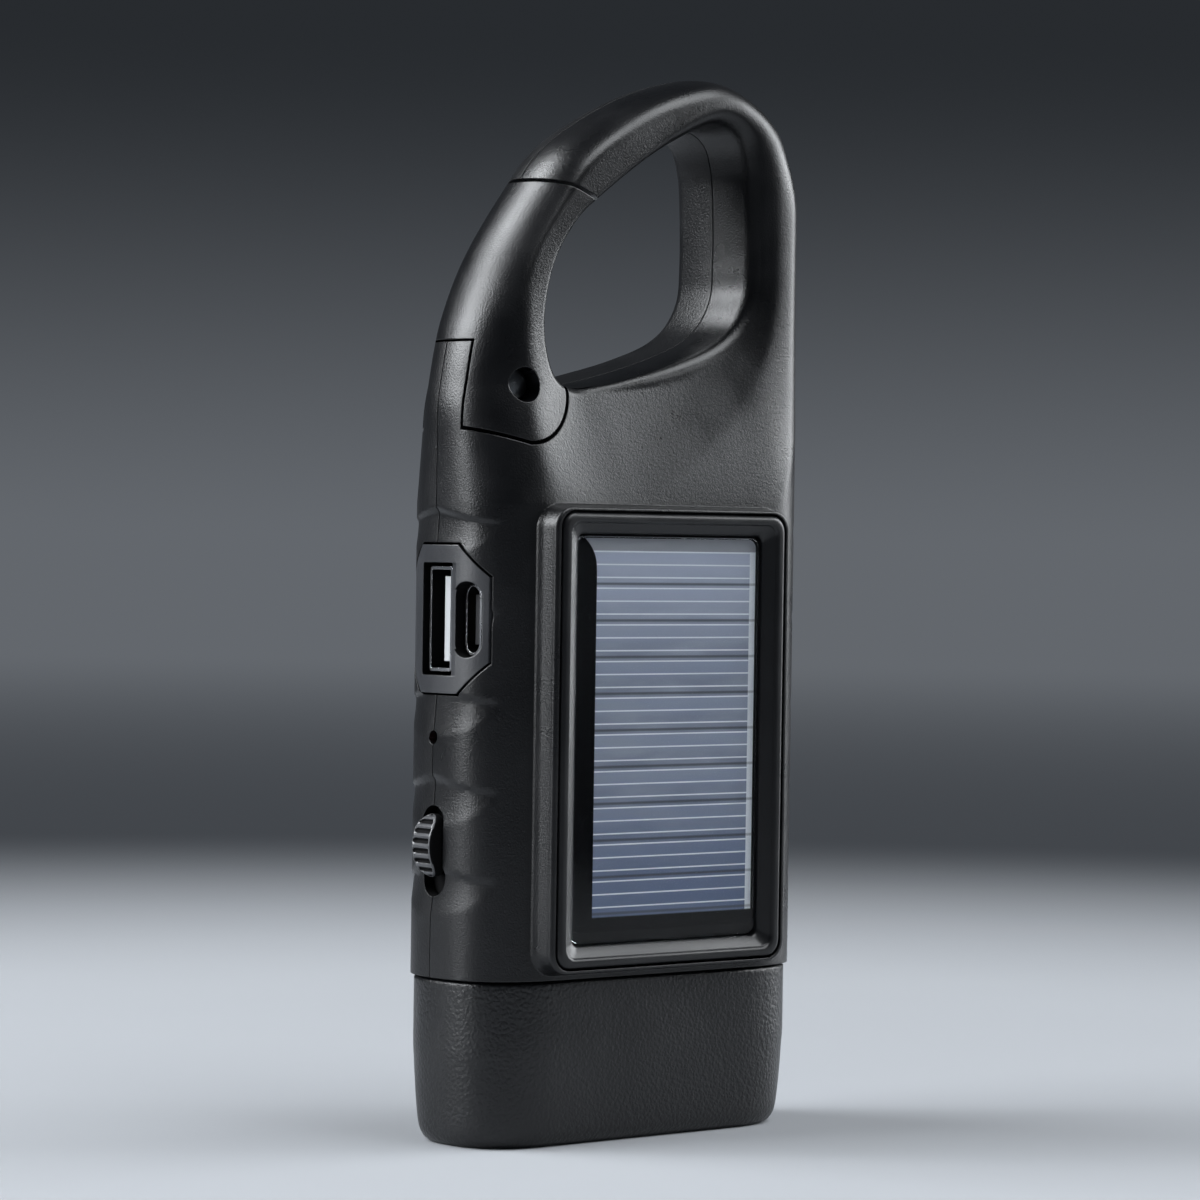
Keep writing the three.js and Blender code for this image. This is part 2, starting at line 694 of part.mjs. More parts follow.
// Slide switch: a stadium slot on the seam, an arched ribbed button and the switch behind it.
const switchSlot = sideSlab(
  stadium(0, switchHeight, switchSlotWidth, switchSlotLength),
  -beyond,
  -(cavityHalf - wall),
);
const buttonMiddle = switchHeight + switchRise;
const buttonHalf = switchSlotWidth / 2 - gap;
const switchBodyLeft = -(cavityHalf - gap);
const buttonBack = -(halfWidth - wall / 2);
const neckEnd = switchBodyLeft + switchBodyDepth / 2;
const neckSlot = (grow, drop) => block(
  [-beyond, -buttonHalf / 2 - grow, buttonMiddle - switchNeck / 2 - grow - drop],
  [neckEnd + grow, buttonHalf / 2 + grow, buttonMiddle + switchNeck / 2 + grow],
);
const switchButton = (() => {
  const [reach, chord] = [switchProud, switchButtonLength / 2];
  const rise = (chord * chord + reach * reach) / (2 * reach);
  const middle = -(halfWidth + reach - rise);
  const sweep = THREE.MathUtils.radToDeg(Math.asin(chord / rise));
  const steps = switchRibs * 4;
  const arc = Array.from({ length: steps + 1 }, (unused, i) => {
    const trough = i % 4 === 0 || i % 4 === 3 ? switchRib : 0;
    return away([middle, buttonMiddle], 180 - sweep + (2 * sweep * i) / steps, rise - trough);
  });
  const cap = polygon([
    ...arc, [buttonBack, buttonMiddle - chord + gap], [buttonBack, buttonMiddle + chord - gap],
  ]);
  const plan = stadium(0, buttonMiddle, buttonHalf * 2, switchButtonLength);
  const stem = block(
    [buttonBack - gap, -buttonHalf / 2, buttonMiddle - switchNeck / 2],
    [neckEnd, buttonHalf / 2, buttonMiddle + switchNeck / 2],
  );
  return slab(cap, -buttonHalf, buttonHalf).intersect(sideSlab(plan, -beyond, 0)).add(stem);
})();
const switchBody = block(
  [switchBodyLeft, -switchBodyThick / 2, switchHeight - switchBodyLength / 2],
  [switchBodyLeft + switchBodyDepth, switchBodyThick / 2, switchHeight + switchBodyLength / 2],
).subtract(neckSlot(gap, switchTravel));

// Status lamp: a round body behind the wall with its tip in the hole.
const lampHole = rodX(lampRadius, 0, lampHeight, -beyond, 0);
const statusLamp = sum(
  rodX(lampBody, 0, lampHeight, -(cavityHalf - gap), -(cavityHalf - gap) + lampBodyLength),
  rodX(lampRadius - gap / 2, 0, lampHeight, buttonBack, -(cavityHalf - gap) + lampBodyLength / 2),
);

// Boards and battery
const mainBoardLeft = portBack + gap;
const mainBoard = block(
  [mainBoardLeft, boardPlaneFront, mainBoardBottom],
  [cavityHalf - mainBoardClear, boardPlaneRear, mainBoardTop],
);
const batteryFront = shelfBack + gap;
const battery = slab(
  roundedBox(batteryWidth, batteryHeight, bezelRound, wall, batteryBottom + batteryHeight / 2),
  batteryFront,
  batteryFront + batteryThick,
  cornerSegments,
);

// Shell halves
const cavity = sectionSlab(wall, headHeight - overrun, cavityTop);
const panelPad = block([-blockHalf, -beyond, blockBottom], [blockHalf, shelfBack, blockTop]);
const panelBlock = panelLoft([
  [blockHalf * 2, blockTop - blockBottom, bezelRound + panelLip, panelFront],
  [
    (blockHalf + panelDraft) * 2,
    blockTop - blockBottom + panelDraft,
    bezelRound + panelLip + panelDraft,
    -(frontDepth - wall - panelDraft),
  ],
]);
const rearFaceNear = ([x]) => superRound(halfWidth - Math.abs(x), rearDepth, rearPower);
const screwTopOf = (place) => (place[1] > shoulderHeight ? hookDepth : rearFaceNear(place)) - screwRecess;
const bosses = sum(
  screwPlaces.slice(0, 4).map((place) => rodY(screwBoss, place, -beyond, beyond, smallSegments)),
).intersect(outerForm);
const screwCuts = sum(
  screwPlaces.map((place) =>
    sum(
      rodY(screwRadius + gap / 2, place, -(screwFrontGrip + gap), screwTopOf(place) + gap, smallSegments),
      rodY(screwHead + gap, place, screwTopOf(place) - gap / 2, beyond, smallSegments),
    ),
  ),
);
const sharedCuts = sum(
  gateClear,
  portCut,
  lampHole,
  switchSlot,
  screwCuts,
  springPocket,
  rodY(pinRadius + gap / 2, gatePin, -beyond, beyond),
);
const wireHole = rodY(wall, [0, bezelBottom + bezelHeight / 4], -frontDepth, 0, smallSegments);
const frontShell = outerForm
  .intersect(half(true))
  .add(panelBlock)
  .subtract(cavity.subtract(panelPad))
  .add(bosses.intersect(half(true)))
  .subtract(sharedCuts)
  .subtract(panelSlab(pocketHalf * 2, bezelHeight + gap * 2, bezelRound + gap, -beyond, shelfFront))
  .subtract(wireHole);

const shaftHole = rodY(shaftRadius + gap / 2 + bushWall + gap / 2, crankCentre, 0, beyond);
const driveReach = (driveModule * driveTeeth) / 2;
const plateLeft = -(driveReach + gearPlateBorder);
const plateRight = rotorCentre[0] + generatorRadius;
const plateLow = crankHeight - driveReach;
const plateHigh = rotorCentre[1] + generatorRadius;
const postPlaces = [
  [plateLeft + postRadius, plateLow + postRadius],
  [plateRight - postRadius, plateLow + postRadius],
  [plateLeft + postRadius, plateHigh - postRadius],
];
const postFront = gearPlateRear + gap;
const posts = sum(
  postPlaces.map((place) => rodY(postRadius, place, postFront, rearInside + gap, smallSegments)),
);
const rearShell = outerForm
  .intersect(half(false))
  .subtract(cavity)
  .add(bosses.intersect(half(false)))
  .add(posts)
  .subtract(sharedCuts)
  .subtract(shaftHole);

// Solar panel
const bezel = panelSlab(bezelWidth, bezelHeight, bezelRound, bezelFront, bezelBack)
  .subtract(panelSlab(windowWidth, windowHeight, windowRound, -beyond, beyond))
  .subtract(
    panelLoft([
      [
        windowWidth + bezelSlopeWidth * 4,
        windowHeight + bezelSlopeWidth * 4,
        windowRound + bezelSlopeWidth,
        bezelFront - bezelSlope,
      ],
      [windowWidth, windowHeight, windowRound, bezelFront + bezelSlope],
    ]),
  );
const solarBoard = panelSlab(
  windowWidth + boardLap * 2, windowHeight + boardLap * 2, windowRound, boardFront, boardBack,
);
const solarCells = panelSlab(cellWidth, cellHeight, gap, cellBack - cellThick, cellBack);
const solarCover = panelSlab(
  windowWidth - gap * 2, windowHeight - gap * 2, windowRound, coverBack - coverThick, coverBack,
);

// Gears: teeth with straight flanks, thinned and shortened so that they run free.
const gear = (module, teeth, centre, turn, front, rear) => {
  const radius = (module * teeth) / 2;
  const step = 360 / teeth;
  const quarter = step / 4;
  const { tip, root, head, foot } = toothShares;
  const points = Array.from({ length: teeth }, (unused, i) => {
    const middle = turn + i * step;
    const low = radius - module * foot;
    const high = radius + module * head;
    return [
      [low, -quarter * root], [high, -quarter * tip], [high, quarter * tip], [low, quarter * root],
    ].map(([reach, degrees]) => away(centre, middle + degrees, reach));
  }).flat();
  return slab(polygon(points), front, rear);
};
const driveBack = driveLayer + gearThick;
const driveGear = gear(driveModule, driveTeeth, crankCentre, idlerAngle, driveLayer, driveBack).subtract(
  rodY(shaftRadius + gap / 2, crankCentre, -beyond, beyond),
);
const pinionTurn = idlerAngle + 180 + 180 / idlerPinionTeeth;
const idlerGear = sum(
  gear(driveModule, idlerPinionTeeth, idlerCentre, pinionTurn, idlerLayer, driveBack),
  gear(idlerModule, idlerTeeth, idlerCentre, rotorAngle, idlerLayer, idlerLayer + gearThick),
).subtract(rodY(idlerAxleBore, idlerCentre, -beyond, beyond, smallSegments));
const rotorTurn = rotorAngle + 180 + 180 / rotorTeeth;
const rotorShaftEnd = generatorFront + generatorWall + gap;
const rotorBack = idlerLayer + gearThick;
const rotorPinion = gear(idlerModule, rotorTeeth, rotorCentre, rotorTurn, idlerLayer, rotorBack).add(
  rodY(axleRadius, rotorCentre, rotorShaftEnd, rotorBack - gearThick / 2, smallSegments),
);
const magnetFront = rotorShaftEnd + gap;
const rotorMagnet = rodY(magnetRadius, rotorCentre, magnetFront, magnetFront + magnetThick).subtract(
  rodY(axleRadius + gap / 2, rotorCentre, -beyond, beyond, smallSegments),
);
const generatorCan = rodY(generatorRadius, rotorCentre, generatorFront, generatorRear).subtract(
  rodY(generatorRadius - generatorWall, rotorCentre, generatorFront + generatorWall, beyond),
);
const coilOuter = generatorRadius - generatorWall - gap;
const generatorCoil = rodY(coilOuter, rotorCentre, magnetFront, magnetFront + magnetThick).subtract(
  rodY(coilInner, rotorCentre, -beyond, beyond),
);
const idlerAxle = rodY(axleRadius, idlerCentre, gearPlateFront, rearInside - gap, smallSegments);
const gearPlate = slab(
  polygon([
    [plateLeft, plateLow], [plateRight, plateLow], [plateRight, rotorCentre[1]],
    [(plateRight + rotorCentre[0]) / 2, plateHigh], [plateLeft, plateHigh],
  ]),
  gearPlateFront,
  gearPlateRear,
)
  .subtract(rodY(shaftRadius + gap / 2, crankCentre, -beyond, beyond))
  .subtract(rodY(axleRadius + gap / 2, idlerCentre, -beyond, beyond, smallSegments))
  .subtract(rodY(axleRadius + gap, rotorCentre, -beyond, beyond, smallSegments));

// Crank
const bushOuter = shaftRadius + gap / 2 + bushWall;
const flangeFront = rearDepth + gap;
const crankBush = sum(
  rodY(bushOuter, crankCentre, rearInside, flangeFront + bushFlangeThick),
  rodY(bushOuter + bushFlange, crankCentre, flangeFront, flangeFront + bushFlangeThick),
).subtract(rodY(shaftRadius + gap / 2, crankCentre, -beyond, beyond));
const screwSeat = armBack - crankScrewHeadThick - gap;
const shaftEnd = armFront + (screwSeat - armFront) / 2;
const screwFoot = screwSeat - crankScrewLength;
const screwBore = rodY(crankScrewRadius + gap / 2, crankCentre, screwFoot - gap, beyond, smallSegments);
const crankShaft = rodY(shaftRadius, crankCentre, gearPlateFront, shaftEnd).subtract(screwBore);
const crankScrew = sum(
  rodY(crankScrewHead, crankCentre, screwSeat + gap / 2, screwSeat + gap / 2 + crankScrewHeadThick),
  rodY(crankScrewRadius, crankCentre, screwFoot, screwSeat + gap),
).subtract(
  block(
    [-crankScrewHead - gap, armBack - crankScrewHeadThick / 2, crankHeight - gap],
    [crankScrewHead + gap, armBack + overrun, crankHeight + gap],
  ),
);
const knobTop = hingeHeight - stemHalf - gap * 2;
const knobFoot = knobTop - knobLength;
const capFoot = knobFoot - gap - knobCapThick;
const swing = Math.hypot(hingeHeight - capFoot, knobCapRadius) + gap * 2;
const windowHalf = knobCapRadius + gap;
const armTop = hingeHeight + stemHalf * 2;
const armOutline = roundedBox(armWidth, armTop - crankHeight, stemHalf, 0, (armTop + crankHeight) / 2);
const armBar = slab(armOutline, armFront, armBack, cornerSegments);
const crankArm = sum(rodY(hubRadius, crankCentre, armFront, armBack), armBar)
  .subtract(block([-windowHalf, -beyond, hingeHeight - swing], [windowHalf, beyond, beyond]))
  .subtract(rodX(hingePinRadius + gap / 2, knobY, hingeHeight, -armWidth / 2 + gap * 2, beyond))
  .subtract(rodY(shaftRadius + gap / 2, crankCentre, -beyond, shaftEnd + gap))
  .subtract(rodY(crankScrewRadius + gap / 2, crankCentre, -beyond, beyond, smallSegments))
  .subtract(rodY(crankScrewHead + gap, crankCentre, screwSeat, beyond));
const hingePin = rodX(hingePinRadius, knobY, hingeHeight, -armWidth / 2 + gap * 3, armWidth / 2);
const knobStem = sum(
  block(
    [-stemWidth / 2, knobY - stemHalf, hingeHeight - stemHalf],
    [stemWidth / 2, knobY + stemHalf, hingeHeight + stemHalf],
  ),
  rodZ(spindleRadius, 0, knobY, knobFoot, hingeHeight - stemHalf / 2, smallSegments),
).subtract(rodX(hingePinRadius + gap / 2, knobY, hingeHeight, -beyond, beyond));
const knob = rodZ(knobRadius, 0, knobY, knobFoot, knobTop).subtract(
  rodZ(spindleRadius + gap / 2, 0, knobY, -beyond, beyond, smallSegments),
);
const knobCap = rodZ(knobCapRadius, 0, knobY, capFoot, knobFoot - gap);

// Light head
const headTop = headHeight - seam;
const headOuter = loft(
  headTaperShares.map(([up, inset]) => section(headInset + headTaper * inset, headTop * up)),
);
const headBore = sectionSlab(headInside, -overrun, headTop - headFlange);
const spigotInset = wall + gap;
const spigot = sectionSlab(spigotInset, headTop - headFlange / 2, headTop + spigotHeight - gap)
  .subtract(sectionSlab(spigotInset + spigotWall, headTop - headFlange, beyond))
  .subtract(block([-blockHalf - gap, -beyond, headTop], [blockHalf + gap, shelfBack + gap, beyond]));
const headCap = headOuter.subtract(headBore).add(spigot).subtract(rodZ(headWall, 0, 0, 0, beyond));
const insideInset = headInside + gap;
const ledBoardTop = headTop - headFlange - gap;
const ledBoard = sectionSlab(insideInset, ledBoardTop - ledBoardThick, ledBoardTop);
const lens = sectionSlab(insideInset, lensRecess + gap, lensRecess + gap + lensThick);
const lensTop = lensRecess + gap + lensThick;
const lensRing = sectionSlab(insideInset, lensRecess - lensRingHeight, lensRecess).subtract(
  sectionSlab(insideInset + lensRingWall, -beyond, beyond),
);
const reflectorFoot = lensTop + gap;
const ledFoot = ledBoardTop - ledBoardThick - gap - ledHeight;
const cupTop = ledFoot + ledHeight / 2;
const ledPlaces = Array.from({ length: ledCount }, (unused, i) => (i - (ledCount - 1) / 2) * ledPitch);
const turned = (profile, x, z, segments) => {
  const points = profile.map(([radius, height]) => new THREE.Vector2(radius, height));
  return solid(new THREE.LatheGeometry(points, segments).rotateX(Math.PI / 2).translate(x, 0, z));
};
const cupAt = (x, grow, extra) =>
  turned(
    [
      [0, reflectorFoot - extra],
      [cupRadius + grow, reflectorFoot - extra],
      [cupRadius * cupBellyShare + grow, reflectorFoot + (cupTop - reflectorFoot) * cupBellyHeightShare],
      [cupThroat + grow, cupTop],
      [cupThroat + grow, cupTop + extra],
      [0, cupTop + extra],
    ],
    x,
    0,
    roundSegments,
  );
const reflector = sectionSlab(insideInset, reflectorFoot, reflectorFoot + reflectorFlange)
  .add(sum(ledPlaces.map((x) => cupAt(x, cupWall, 0))))
  .subtract(sum(ledPlaces.map((x) => cupAt(x, 0, gap))));
const ledProfile = [
  ...Array.from({ length: domeSteps + 1 }, (unused, i) => {
    const turn = ((i / domeSteps) * Math.PI) / 2;
    return [ledRadius * Math.sin(turn), ledRadius * (1 - Math.cos(turn))];
  }),
  [ledRadius, ledHeight],
  [0, ledHeight],
];
const screwAt = ([x, z]) => {
  const seat = screwTopOf([x, z]);
  const slot = block([x - beyond, seat + screwHeadThick / 2, z - gap], [x + beyond, beyond, z + gap]);
  return rodY(screwHead, [x, z], seat + gap / 2, seat + gap / 2 + screwHeadThick, smallSegments)
    .subtract(slot)
    .add(rodY(screwRadius, [x, z], -screwFrontGrip, seat + gap, smallSegments));
};

const nodes = [
  ["front_shell", frontShell, shellBlack],
  ["rear_shell", rearShell, shellBlack],
  ["gate_arm", gate, shellBlack],
  ["gate_pin", gatePinBody, darkSteel],
  ["gate_spring", gateSpring, steel],
  ["solar_bezel", bezel, bezelBlack],
  ["solar_board", solarBoard, boardGreen],
  ["solar_cells", solarCells, cellBlue],
  ["solar_cover", solarCover, clear],
  ["port_plate", portPlate, trimBlack],
  ["usb_a_shell", usbAShell, steel],
  ["usb_a_tongue", usbATongueBody, white],
  ["usb_c_shell", usbCShell, steel],
  ["usb_c_tongue", usbCTongueBody, trimBlack],
  ["main_board", mainBoard, boardGreen],
  ["status_lamp", statusLamp, redClear],
  ["switch_housing", switchBody, trimBlack],
  ["switch_button", switchButton, trimBlack],
  ["battery_cell", battery, batteryFilm],
  ["gear_plate", gearPlate, steel],
  ["hub_bush", crankBush, nylon],
  ["idler_axle", idlerAxle, steel],
  ["idler_gear", idlerGear, nylon],
  ["drive_gear", driveGear, nylon],
  ["rotor_gear", rotorPinion, steel],
  ["rotor_magnet", rotorMagnet, darkSteel],
  ["generator_can", generatorCan, darkSteel],
  ["generator_coil", generatorCoil, copper],
  ["crank_shaft", crankShaft, steel],
  ["crank_screw", crankScrew, steel],
  ["crank_arm", crankArm, shellBlack],
  ["knob_hinge_pin", hingePin, steel],
  ["knob_stem", knobStem, darkSteel],
  ["crank_knob", knob, headBlack],
  ["knob_cap", knobCap, headBlack],
  ["head_cap", headCap, headBlack],
  ["led_board", ledBoard, boardGreen],
  ["reflector", reflector, mirror],
  ["head_lens", lens, clear],
  ["lens_ring", lensRing, trimBlack],
  ...ledPlaces.map((x, i) => [`led_${i + 1}`, turned(ledProfile, x, ledFoot, smallSegments), clear]),
  ...screwPlaces.map((place, i) => [`shell_screw_${i + 1}`, screwAt(place), steel]),
];

// The frame's origin lies under the middle of the whole, on the ground.
const outside = nodes.map(([, body]) => body.boundingBox());
const middleAlong = (axis) =>
  -(Math.min(...outside.map((box) => box.min[axis])) + Math.max(...outside.map((box) => box.max[axis]))) / 2;
const inner = new THREE.Group();
inner.position.set(middleAlong(0), middleAlong(1), 0);
nodes.forEach(([name, body, material]) => {
  const mesh = new THREE.Mesh(geometryOf(body), material);
  mesh.name = name;
  inner.add(mesh);
});
const part = new THREE.Group();
part.add(inner);
export default part;
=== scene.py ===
"""Hand crank flashlight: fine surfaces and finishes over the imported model.

Every class holds its sizes in body millimetres: X across, Y from the seam to the rear, Z up from
the ground. Place moves them into the row frame and turns them into metres. Beyond is a length past
the whole object, for cuts, and a hair is what keeps a point off an axis or a face off another.
"""

from __future__ import annotations

import json
import logging
from collections.abc import Callable
from dataclasses import dataclass, field
from enum import Enum

import bmesh
import bpy
import numpy as np
from mathutils import Matrix, Vector

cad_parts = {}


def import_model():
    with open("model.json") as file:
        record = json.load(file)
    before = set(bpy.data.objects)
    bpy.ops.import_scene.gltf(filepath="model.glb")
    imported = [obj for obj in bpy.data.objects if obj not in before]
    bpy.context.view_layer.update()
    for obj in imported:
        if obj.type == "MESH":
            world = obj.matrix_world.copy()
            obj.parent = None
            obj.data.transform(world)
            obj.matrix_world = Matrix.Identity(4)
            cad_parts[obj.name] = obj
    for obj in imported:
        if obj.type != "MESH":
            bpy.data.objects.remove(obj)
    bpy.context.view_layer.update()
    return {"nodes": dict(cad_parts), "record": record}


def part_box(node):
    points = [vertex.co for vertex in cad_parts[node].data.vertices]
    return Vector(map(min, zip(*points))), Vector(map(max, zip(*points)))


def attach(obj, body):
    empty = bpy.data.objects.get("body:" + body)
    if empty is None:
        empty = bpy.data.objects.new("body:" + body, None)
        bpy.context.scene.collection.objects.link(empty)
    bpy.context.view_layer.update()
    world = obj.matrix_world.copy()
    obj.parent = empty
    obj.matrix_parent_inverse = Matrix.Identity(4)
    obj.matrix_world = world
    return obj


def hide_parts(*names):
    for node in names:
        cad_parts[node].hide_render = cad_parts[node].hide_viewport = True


Points = np.ndarray
Pair = tuple[float, float]
Triple = tuple[float, float, float]
Colour = Triple
Solid = bpy.types.Object
Material = bpy.types.Material
Socket = bpy.types.NodeSocket
Tree = bpy.types.NodeTree
log = logging.getLogger("flashlight")

MM = 0.001
BEYOND = 160.0
HAIR = 0.02


class Join(Enum):
    """How one solid is put together with another."""

    CUT = "DIFFERENCE"
    ADD = "UNION"
    KEEP = "INTERSECT"


# Meshes


@dataclass
class Place:
    """Where the body's own axes stand in the row frame."""

    shift: Points = field(default_factory=lambda: np.zeros(3))
    bush_front: float = 9.4

    def read(self) -> None:
        """Takes the shift from the crank's bush, whose axis is at X 0."""
        low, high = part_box("hub_bush")
        self.shift = np.array([(low.x + high.x) / 2 / MM, low.y / MM - self.bush_front, 0.0])

    def metres(self, points: Points) -> Points:
        """Body millimetres as row metres."""
        return (np.asarray(points, float) + self.shift) * MM

    def depths(self, node: str) -> Pair:
        """Front and rear of a CAD node, in body millimetres."""
        low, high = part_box(node)
        return low.y / MM - self.shift[1], high.y / MM - self.shift[1]


PLACE = Place()


def grid_faces(rows: int, columns: int, wrap: bool = False, close: bool = False) -> Points:
    """Quads of a grid of points numbered row by row.

    Args:
        rows: number of rows.
        columns: number of points in a row.
        wrap: whether each row's end meets its start.
        close: whether the last row meets the first.

    Returns:
        An array of four corners a face.
    """
    r = np.arange(rows if close else rows - 1)[:, None]
    c = np.arange(columns if wrap else columns - 1)[None, :]
    up, right = (r + 1) % rows, (c + 1) % columns
    corners = [r * columns + c, r * columns + right, up * columns + right, up * columns + c]
    return np.stack(np.broadcast_arrays(*corners), -1).reshape(-1, 4)


def make_object(name: str, points: Points, faces: list[Points]) -> Solid:
    """A closed solid at the origin, with its faces turned outwards.

    Args:
        name: the object's name.
        points: vertices in body millimetres.
        faces: arrays of faces, each array with one number of corners.

    Returns:
        The new object, linked to the scene.
    """
    points = np.asarray(points, float).reshape(-1, 3)
    corners = np.concatenate([np.asarray(f).ravel() for f in faces]).astype(np.int32)
    counts = np.concatenate([np.full(len(f), np.asarray(f).shape[1]) for f in faces])
    starts = np.concatenate([[0], np.cumsum(counts)[:-1]]).astype(np.int32)
    mesh = bpy.data.meshes.new(name)
    mesh.vertices.add(len(points))
    mesh.vertices.foreach_set("co", PLACE.metres(points).astype(np.float32).ravel())
    mesh.loops.add(len(corners))
    mesh.loops.foreach_set("vertex_index", corners)
    mesh.polygons.add(len(starts))
    mesh.polygons.foreach_set("loop_start", starts)
    mesh.update(calc_edges=True)
    mesh.validate()
    made = bpy.data.objects.new(name, mesh)
    bpy.context.scene.collection.objects.link(made)
    if signed_volume(mesh) < 0:
        mesh.flip_normals()
    return made


def signed_volume(mesh: bpy.types.Mesh) -> float:
    """Sum over its triangles of the volume to the origin, negative where the faces point inwards."""
    mesh.calc_loop_triangles()
    spots = np.empty(len(mesh.vertices) * 3)
    mesh.vertices.foreach_get("co", spots)
    turns = np.empty(len(mesh.loop_triangles) * 3, np.int32)
    mesh.loop_triangles.foreach_get("vertices", turns)
    a, b, c = np.moveaxis(spots.reshape(-1, 3)[turns.reshape(-1, 3)], 1, 0)
    return float(np.einsum("ij,ij->", a, np.cross(b, c)))


def grid_of(numbers: Points) -> Points:
    """Quads over a table of vertex numbers."""
    a, b, c, d = numbers[:-1, :-1], numbers[:-1, 1:], numbers[1:, 1:], numbers[1:, :-1]
    return np.stack([a, b, c, d], -1).reshape(-1, 4)


def weld(piece: Solid, within: float = 1e-6) -> None:
    """Merges vertices in one place and turns the faces of the closed solid outwards."""
    work = bmesh.new()
    work.from_mesh(piece.data)
    bmesh.ops.remove_doubles(work, verts=work.verts, dist=within)
    bmesh.ops.recalc_face_normals(work, faces=work.faces)
    work.to_mesh(piece.data)
    work.free()
    if signed_volume(piece.data) < 0:
        piece.data.flip_normals()


def loft(name: str, rings: Points) -> Solid:
    """A solid through rings of equal count, each end closed by a fan to its middle.

    Args:
        name: the object's name.
        rings: rows of points, (rings, around, 3).

    Returns:
        The new solid.
    """
    rows, around = rings.shape[:2]
    ends = np.stack([rings[0].mean(0), rings[-1].mean(0)])
    turn = np.arange(around)
    after = (turn + 1) % around
    low = np.stack([np.full(around, rows * around), after, turn], 1)
    last = (rows - 1) * around
    high = np.stack([np.full(around, rows * around + 1), last + turn, last + after], 1)
    points = np.concatenate([rings.reshape(-1, 3), ends])
    return make_object(name, points, [grid_faces(rows, around, wrap=True), low, high])


def closed_sweep(name: str, rings: Points) -> Solid:
    """A ring-shaped solid whose rows meet end to end both ways."""
    rows, around = rings.shape[:2]
    return make_object(name, rings.reshape(-1, 3), [grid_faces(rows, around, wrap=True, close=True)])


def at_level(outline: Points, level: float, axis: int = 1) -> Points:
    """An outline (n, 2) as points (n, 3), at a place on the axis that it lacks."""
    return np.insert(np.asarray(outline, float), axis, level, axis=1)


def prism(name: str, outline: Points, low: float, high: float, axis: int = 1) -> Solid:
    """An outline carried straight along an axis.

    Args:
        name: the object's name.
        outline: points (n, 2) in the two other axes, in their order.
        low: where it starts on the axis.
        high: where it ends.
        axis: 0, 1 or 2 for X, Y or Z.

    Returns:
        The new solid.
    """
    count = len(outline)
    points = np.concatenate([at_level(outline, low, axis), at_level(outline, high, axis)])
    turn = np.arange(count)
    faces = [grid_faces(2, count, wrap=True), turn[::-1][None, :], (turn + count)[None, :]]
    return make_object(name, points, faces)


def box_solid(name: str, low: Triple, high: Triple) -> Solid:
    """A plain box, used to cut or keep."""
    outline = np.array([[low[0], low[2]], [high[0], low[2]], [high[0], high[2]], [low[0], high[2]]])
    return prism(name, outline, low[1], high[1])


def arc(centre: Pair, radius: float, start: float, end: float, steps: int) -> Points:
    """Points on a circle from one angle to another, in degrees from the first axis."""
    turn = np.radians(np.linspace(start, end, steps + 1))
    return np.stack([centre[0] + radius * np.cos(turn), centre[1] + radius * np.sin(turn)], 1)


def circle(centre: Pair, radius: float, steps: int = 64) -> Points:
    """A full circle without its repeated end."""
    return arc(centre, radius, 0, 360, steps)[:-1]


def turned(name: str, profile: Points, centre: Pair, axis: int, steps: int) -> Solid:
    """A turned solid.

    Args:
        name: the object's name.
        profile: pairs of a place on the axis and the radius there.
        centre: the axis's place in the two other directions.
        axis: 0, 1 or 2 for X, Y or Z.
        steps: points round it.

    Returns:
        The new solid.
    """
    rings = [at_level(circle(centre, radius, steps), place, axis) for place, radius in profile]
    return loft(name, np.array(rings))


def rod(radius: float, centre: Pair, low: float, high: float) -> Solid:
    """A round bar along Y."""
    return prism("rod", circle(centre, radius), low, high)


def stadium(centre: Pair, width: float, length: float, steps: int = 24) -> Points:
    """A slot's outline, long in the second axis, with round ends."""
    radius, run = width / 2, (length - width) / 2
    upper = arc((centre[0], centre[1] + run), radius, 0, 180, steps)
    lower = arc((centre[0], centre[1] - run), radius, 180, 360, steps)
    return np.concatenate([upper, lower])


def rounded_box(
    half: Pair, radius: float, middle: float = 0.0, steps: int = 12, run: int = 10
) -> Points:
    """A rectangle with round corners and evenly stepped sides, centred at (0, middle)."""
    w, h = half
    turns = []
    for x, z, start in ((1, -1, -90), (1, 1, 0), (-1, 1, 90), (-1, -1, 180)):
        turns.append(arc((x * (w - radius), middle + z * (h - radius)), radius, start, start + 90, steps))
    parts = []
    for i, corner in enumerate(turns):
        share = (np.arange(1, run) / run)[:, None]
        ahead = turns[(i + 1) % 4][0]
        parts += [corner, corner[-1] + (ahead - corner[-1]) * share]
    return np.concatenate(parts)


def combine(target: Solid, others: list[Solid], how: Join) -> None:
    """Joins, cuts or intersects a solid with others, which are then removed."""
    for other in others:
        step = target.modifiers.new("join", "BOOLEAN")
        step.solver = "MANIFOLD"
        step.operation = how.value
        step.object = other
    shape = target.evaluated_get(bpy.context.evaluated_depsgraph_get())
    made = bpy.data.meshes.new_from_object(shape)
    if len(made.polygons) in (0, len(target.data.polygons)):
        raise RuntimeError(f"{target.name}: {how.name} did nothing or left nothing")
    target.modifiers.clear()
    old, target.data = target.data, made
    made.name = target.name
    bpy.data.meshes.remove(old)
    for other in others:
        waste = other.data
        bpy.data.objects.remove(other)
        bpy.data.meshes.remove(waste)


def copy_of(source: Solid, name: str) -> Solid:
    """A second object with its own copy of the mesh."""
    made = bpy.data.objects.new(name, source.data.copy())
    bpy.context.scene.collection.objects.link(made)
    return made


def join_all(target: Solid, others: list[Solid]) -> None:
    """Puts the meshes of separate small solids into one object, without merging them."""
    with bpy.context.temp_override(active_object=target, selected_editable_objects=[target, *others]):
        bpy.ops.object.join()


